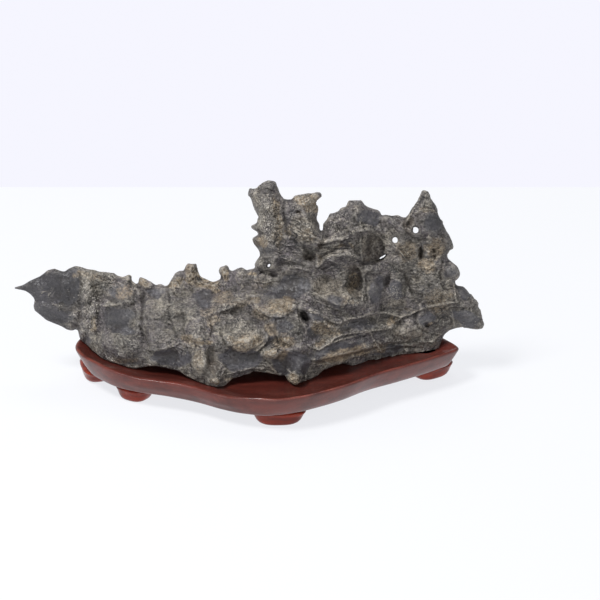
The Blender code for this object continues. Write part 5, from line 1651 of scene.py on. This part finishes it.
@dataclass(frozen=True)
class LimestoneFinish:
    """Eroded limestone with a handling polish: charcoal stone, tan crust, bluish smooth faces and pale chips."""

    stone_dark: Colour = (0.070, 0.066, 0.066)
    stone_light: Colour = (0.250, 0.226, 0.186)
    stone_violet: Colour = (0.205, 0.176, 0.192)
    buff: Colour = (0.330, 0.285, 0.225)
    buff_dark: Colour = (0.098, 0.086, 0.074)
    crust: Colour = (0.375, 0.295, 0.200)
    crust_dark: Colour = (0.160, 0.118, 0.078)
    pale: Colour = (0.470, 0.435, 0.375)
    brown: Colour = (0.112, 0.088, 0.064)
    smooth: Colour = (0.034, 0.033, 0.038)
    smooth_light: Colour = (0.086, 0.082, 0.092)
    worn: Colour = (0.400, 0.375, 0.335)
    vein: Colour = (0.420, 0.375, 0.310)
    black: Colour = (0.026, 0.025, 0.027)
    # the colour of the painted shade in creases and hollows
    grime: Colour = (0.034, 0.029, 0.025)
    specular: float = 0.4
    stretch: tuple[float, float, float] = (0.42, 1.0, 1.5)  # draws the flow lines out along the rock
    relief: float = 0.0012

    def build(self) -> bpy.types.Material:
        """Builds the limestone's material.

        Returns:
            The material, which reads the skin's three colour attributes and Object coordinates.
        """
        material, board, shader = fresh_material("limestone_weathered")
        place = board.wire("ShaderNodeTexCoord", "Object")
        crust, pale, brown, smooth = board.channels("stone_a")
        knobs, dark, vein, _ = board.channels("stone_b")
        cavity, edge, hollow, buff = board.channels("stone_c")
        mottle = Effect.place(Effect.mottle, place=place, scale=55.0)
        broad, fine = mottle["Broad"], mottle["Fine"]
        large, small, grain = (Effect.place(Effect.facets, place=place, scale=size) for size in (210.0, 520.0, 1050.0))
        breaks, finer = (Effect.place(Effect.fractures, place=place, scale=size) for size in (105.0, 230.0))
        drift = bent_by(board, place, board.noise(place, 20.0, 1.0, 0.5, "Color"), 0.06)
        bent = board.vector("MULTIPLY", drift, self.stretch)
        flow, dots = board.noise(bent, 620.0, 3.0, 0.65), board.noise(place, 900.0, 3.0, 0.7)
        speck = flow + (dots - flow) * (knobs + 0.15).held()
        streaks = board.noise(bent, 330.0, 3.0, 0.6)

        # The stone itself, from dark to light, then its buff and its smooth bluish kinds.
        tone = broad * 0.45 + fine * 0.45 + streaks * 0.25
        tone = tone + large["Tone"] * 0.06 + small["Tone"] * 0.12 + grain["Tone"] * 0.14
        lit = tone.ramp(0.50, 0.98)
        hue = board.noise(place, 30.0, 4.0, 0.65).ramp(0.42, 0.58)
        colour = board.mix(lit, self.stone_dark, board.mix(hue, self.stone_violet, self.stone_light))
        flesh = board.mix(lit, self.buff_dark, self.buff)
        sheen = (streaks * 0.55 + fine * 0.35 + broad * 0.2).ramp(0.44, 0.66)
        sheen = board.mix(sheen, self.smooth, self.smooth_light)
        polished = (smooth + fine * 0.5 + broad * 0.5).ramp(0.75, 1.15) * 0.95

        # What lies over it, from the crust to the painted shade in its creases and hollows.
        contour = board.noise(bent, 75.0, 2.0, 0.5)
        thread = abs(contour - 0.53).ramp(0.010, 0.003) * (broad - smooth * 0.12).ramp(0.44, 0.56)
        shadow = abs(contour - 0.44).ramp(0.012, 0.004)
        patchy = (crust + fine + speck * 0.35).ramp(0.92, 1.45)
        tan = board.mix((speck * 0.6 + small["Tone"] * 0.3).ramp(0.3, 0.6), self.crust_dark, self.crust)
        salt = (knobs * 1.2 + crust * 0.25 + edge * 0.5 + 0.06) * speck.ramp(0.54, 0.65)
        salt = (salt * (0.9 - smooth * 0.75)).held()
        pepper = speck.ramp(0.48, 0.38) * (0.70 - smooth * 0.35)
        grains = board.cells(place, 700.0)["Distance"].ramp(0.55, 0.15)
        chips = (pale * (grains + 0.25)).ramp(0.18, 0.80)
        veins = (vein * (fine + 0.35) * 1.1 + thread * 0.50).ramp(0.16, 0.56)
        worn = Effect.place(Effect.worn_edges, place=place, scale=500.0, edge=edge, amount=0.65)["Mask"]
        plain = (1.0 - smooth.maths("MAXIMUM", dark).maths("MAXIMUM", brown) * 1.15).held()
        lines = breaks["Pale"] * 0.55 + finer["Pale"] * 0.40
        cracks = breaks["Dark"] * 0.75 + finer["Dark"] * 0.55 + shadow * 0.45
        flecks = board.cells(place, 330.0)["Distance"].ramp(0.17, 0.10)
        flecks = flecks * board.noise(place, 120.0, 2.0).ramp(0.50, 0.62)
        # painted shade: darkens the creases (cavity) and the hollows (crowding) towards near-black
        grime = (cavity * 0.75).maths("MAXIMUM", hollow * 0.3).held()
        colour = board.layered(colour, (
            ((buff + fine * 0.5).ramp(0.45, 0.95), flesh), (polished, sheen), (patchy, tan), (brown * 0.85, self.brown),
            (salt, self.pale), (pepper, self.black), (chips, self.pale), (veins, self.vein),
            (worn * (1.0 - smooth * 0.7), self.worn), (dark * 0.72, self.black), (lines * plain, self.vein),
            (cracks * (plain + 0.12), self.black), (flecks * 0.85, self.pale), (grime, self.grime),
        ))
        board.put(shader.inputs["Base Color"], colour)
        board.put(shader.inputs["Roughness"], patchy * 0.25 - smooth * 0.10 + fine * 0.35 + 0.30)
        shader.inputs["Specular IOR Level"].default_value = self.specular
        grit = fine + speck * 0.6 + streaks * 0.8
        grit = grit + large["Height"] * 1.6 + small["Height"] * 2.0 + grain["Height"] * 1.2
        board.bump(shader, grit * (1.0 - smooth * 0.7), 1.0, self.relief)
        return material


@dataclass(frozen=True)
class RosewoodFinish:
    """Oiled and varnished rosewood: red-brown, with darker grain along the slab and open pores, and painted shade over
    the slab's dish.
    """

    name: str
    dark: Colour = (0.055, 0.010, 0.007)
    light: Colour = (0.127, 0.0235, 0.0155)
    worn: Colour = (0.250, 0.060, 0.038)
    # the colour of the painted shade over the dish
    deep: Colour = (0.030, 0.007, 0.005)
    pore: Colour = (0.026, 0.008, 0.006)
    grain_turn: float = 0.0
    roughness: float = 0.30
    coat: float = 0.4
    specular: float = 0.35
    coat_roughness: float = 0.16

    def build(self) -> bpy.types.Material:
        """Builds the wood's material.

        Returns:
            The material. Its grain is noise stretched along the board, and its pores a finer one.
        """
        material, board, shader = fresh_material(self.name)
        place = board.wire("ShaderNodeTexCoord", "Object")
        turn = (0.0, 0.0, self.grain_turn)
        along = board.wire("ShaderNodeMapping", "Vector", None, Vector=place, Rotation=turn, Scale=(0.16, 1.0, 1.4))
        grain, pores = board.noise(along, 150.0, 4.0, 0.6), board.noise(along, 1700.0, 2.0, 0.6)
        mottle = Effect.place(Effect.mottle, place=place, scale=26.0)
        # The attribute's second channel, dish, is painted shade over the slab's dish, broken up by a speckle.
        edge, dish, *_ = board.channels("wear")
        worn = Effect.place(Effect.worn_edges, place=place, scale=90.0, edge=edge, amount=0.5)["Mask"]
        shade_speckle = board.noise(place, 850.0, 3.0, 0.7).ramp(0.44, 0.60)
        colour = board.mix((grain * 0.7 + mottle["Broad"] * 0.3).ramp(0.36, 0.64), self.dark, self.light)
        colour = board.layered(colour, (
            (pores.ramp(0.58, 0.70) * 0.55, self.pore), (mottle["Fine"].ramp(0.55, 0.75) * 0.30, self.worn),
            (worn, self.worn), (dish * (0.78 - shade_speckle * 0.60), self.deep),
        ))
        board.put(shader.inputs["Base Color"], colour)
        board.put(shader.inputs["Roughness"], pores * 0.12 + self.roughness)
        shader.inputs["Specular IOR Level"].default_value = self.specular
        shader.inputs["Coat Weight"].default_value = self.coat
        shader.inputs["Coat Roughness"].default_value = self.coat_roughness
        board.bump(shader, grain * 0.5 - pores.ramp(0.56, 0.72) * 0.4, 0.35, 0.0003)
        return material


# ---------------------------------------------------------------- the studio


@dataclass
class Studio:
    """A pale floor and air, soft light from above and in front, and the camera of the front drawing."""

    shift: Array
    floor_edge: float = 458.0
    glow: float = 0.80
    air: float = 0.30
    mirrored_air: float = 0.45
    # Each soft box: name, place and size in metres, and watts.
    boxes: tuple[tuple, ...] = (
        ("key_box", (-0.9, -0.7, 1.9), (0.6, 0.6), 59), ("fill_box", (1.3, -1.5, 1.1), (1.4, 1.2), 7),
        ("low_box", (-0.2, -1.7, 0.35), (1.6, 0.5), 9), ("rear_box", (0.2, 1.0, 1.7), (1.6, 0.7), 12),
    )

    def floor(self) -> None:
        """Builds a matt pale floor that also glows a little, as an over-lit table does."""
        material, board, shader = fresh_material("floor_paper")
        clouds = board.noise(board.wire("ShaderNodeTexCoord", "Object"), 1.5, 2.0)
        board.put(shader.inputs["Base Color"], board.mix(clouds * 0.1, (0.13, 0.13, 0.13), (0.20, 0.20, 0.21)))
        for name, value in {"Roughness": 0.9, "Specular IOR Level": 0.1, "Emission Strength": self.glow}.items():
            shader.inputs[name].default_value = value
        shader.inputs["Emission Color"].default_value = (0.945, 0.960, 1.0, 1.0)
        corners = [(-6000, -5000, 0), (6000, -5000, 0), (6000, self.floor_edge, 0), (-6000, self.floor_edge, 0)]
        obj = make_mesh("floor", (np.array(corners) + self.shift) * MM, np.array([[0, 1, 2, 3]]))
        obj.data.materials.append(material)

    def light(self, name: str, place: tuple[float, float, float], size: tuple[float, float], power: float) -> None:
        """A soft box that looks at the rock.

        Args:
            name: Its name.
            place: Where it is, in metres.
            size: Its width and height, in metres.
            power: Its power in watts.
        """
        data = bpy.data.lights.new(name, "AREA")
        data.shape, data.size, data.size_y, data.energy = "RECTANGLE", *size, power
        obj = bpy.data.objects.new(name, data)
        bpy.context.scene.collection.objects.link(obj)
        away = np.array(place) - np.array([0.0, 0.0, 0.07])
        obj.location = place
        obj.rotation_euler = (math.atan2(math.hypot(away[0], away[1]), away[2]), 0, math.atan2(away[0], -away[1]))

    def surround(self) -> None:
        """Builds the air: it lights the part softly, and what is seen and what is mirrored are brighter."""
        world = bpy.data.worlds.new("studio_air")
        world.use_nodes = True
        board = Board(world.node_tree)
        paths = board.outputs(board.node("ShaderNodeLightPath"))
        shade = board.outputs(world.node_tree.nodes["Background"])["Background"]
        self_lit = world.node_tree.nodes["Background"].inputs
        self_lit["Color"].default_value, self_lit["Strength"].default_value = (0.97, 0.98, 1.0, 1.0), self.air
        for ray, tint, strength in (
            ("Is Glossy Ray", (0.96, 0.97, 1.0), self.mirrored_air), ("Is Camera Ray", (0.92, 0.92, 1.0), 1.0),
        ):
            other = board.wire("ShaderNodeBackground", "Background", None, Color=tint, Strength=strength)
            both = board.node("ShaderNodeMixShader", None, Fac=paths[ray])
            board.put(both.inputs[1], shade)
            board.put(both.inputs[2], other)
            shade = Wire(board, both.outputs[0])
        board.put(world.node_tree.nodes["World Output"].inputs["Surface"], shade)
        bpy.context.scene.world = world

    def build(self) -> None:
        """Builds the floor, the air behind it, the lights and the camera."""
        scene = bpy.context.scene
        self.floor()
        self.surround()
        for box in self.boxes:
            self.light(*box)
        scene.view_settings.view_transform = "Standard"
        scene.view_settings.look = "None"
        data = bpy.data.cameras.new("front_camera")
        data.sensor_width, data.clip_start, data.clip_end = 36.0, 0.05, 50.0
        data.lens = data.sensor_width * DRAWING.distance / (DRAWING.width * DRAWING.unit)
        camera = bpy.data.objects.new("front_camera", data)
        scene.collection.objects.link(camera)
        camera.location = (DRAWING.eye + self.shift) * MM
        camera.rotation_euler = (math.pi / 2 - DRAWING.rise, 0, 0)
        scene.camera = camera


def dress(obj: bpy.types.Object, material: bpy.types.Material, node: str) -> None:
    """Gives a piece its finish, and lets it stand for its plain solid.

    Args:
        obj: The piece.
        material: Its finish.
        node: The plain solid's name.
    """
    obj.data.materials.clear()
    obj.data.materials.append(material)
    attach(obj, "root")
    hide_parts(node)
    LOG.info("%s: %d faces", obj.name, len(obj.data.polygons))


def main() -> None:
    """Builds the stand, the rock and the studio, in that order."""
    logging.basicConfig(level=logging.INFO, format="%(name)s: %(message)s")
    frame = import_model()
    slab = Slab()
    low, high = (np.array(corner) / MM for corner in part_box("stand_slab"))
    outline = slab.outline()
    shift = np.array([*((low + high)[:2] / 2 - (outline.min(axis=0) + outline.max(axis=0)) / 2), 0.0])
    LOG.info("drawing to part: %.3f, %.3f mm", shift[0], shift[1])
    slab_wood = RosewoodFinish("rosewood_slab").build()
    foot_wood = RosewoodFinish(
        "rosewood_foot", dark=(0.080, 0.008, 0.004), light=(0.240, 0.026, 0.009), grain_turn=0.6,
        roughness=0.25, coat=0.3, specular=0.15, coat_roughness=0.06,
    ).build()
    dress(slab.build(shift), slab_wood, "stand_slab")
    for foot in FEET:
        dress(foot.build(shift), foot_wood, foot.name)
    dress(RockSkin(shift, slab).build(frame["nodes"]["rock"]), LimestoneFinish().build(), "rock")
    Studio(shift).build()


if __name__ == "__main__":
    main()
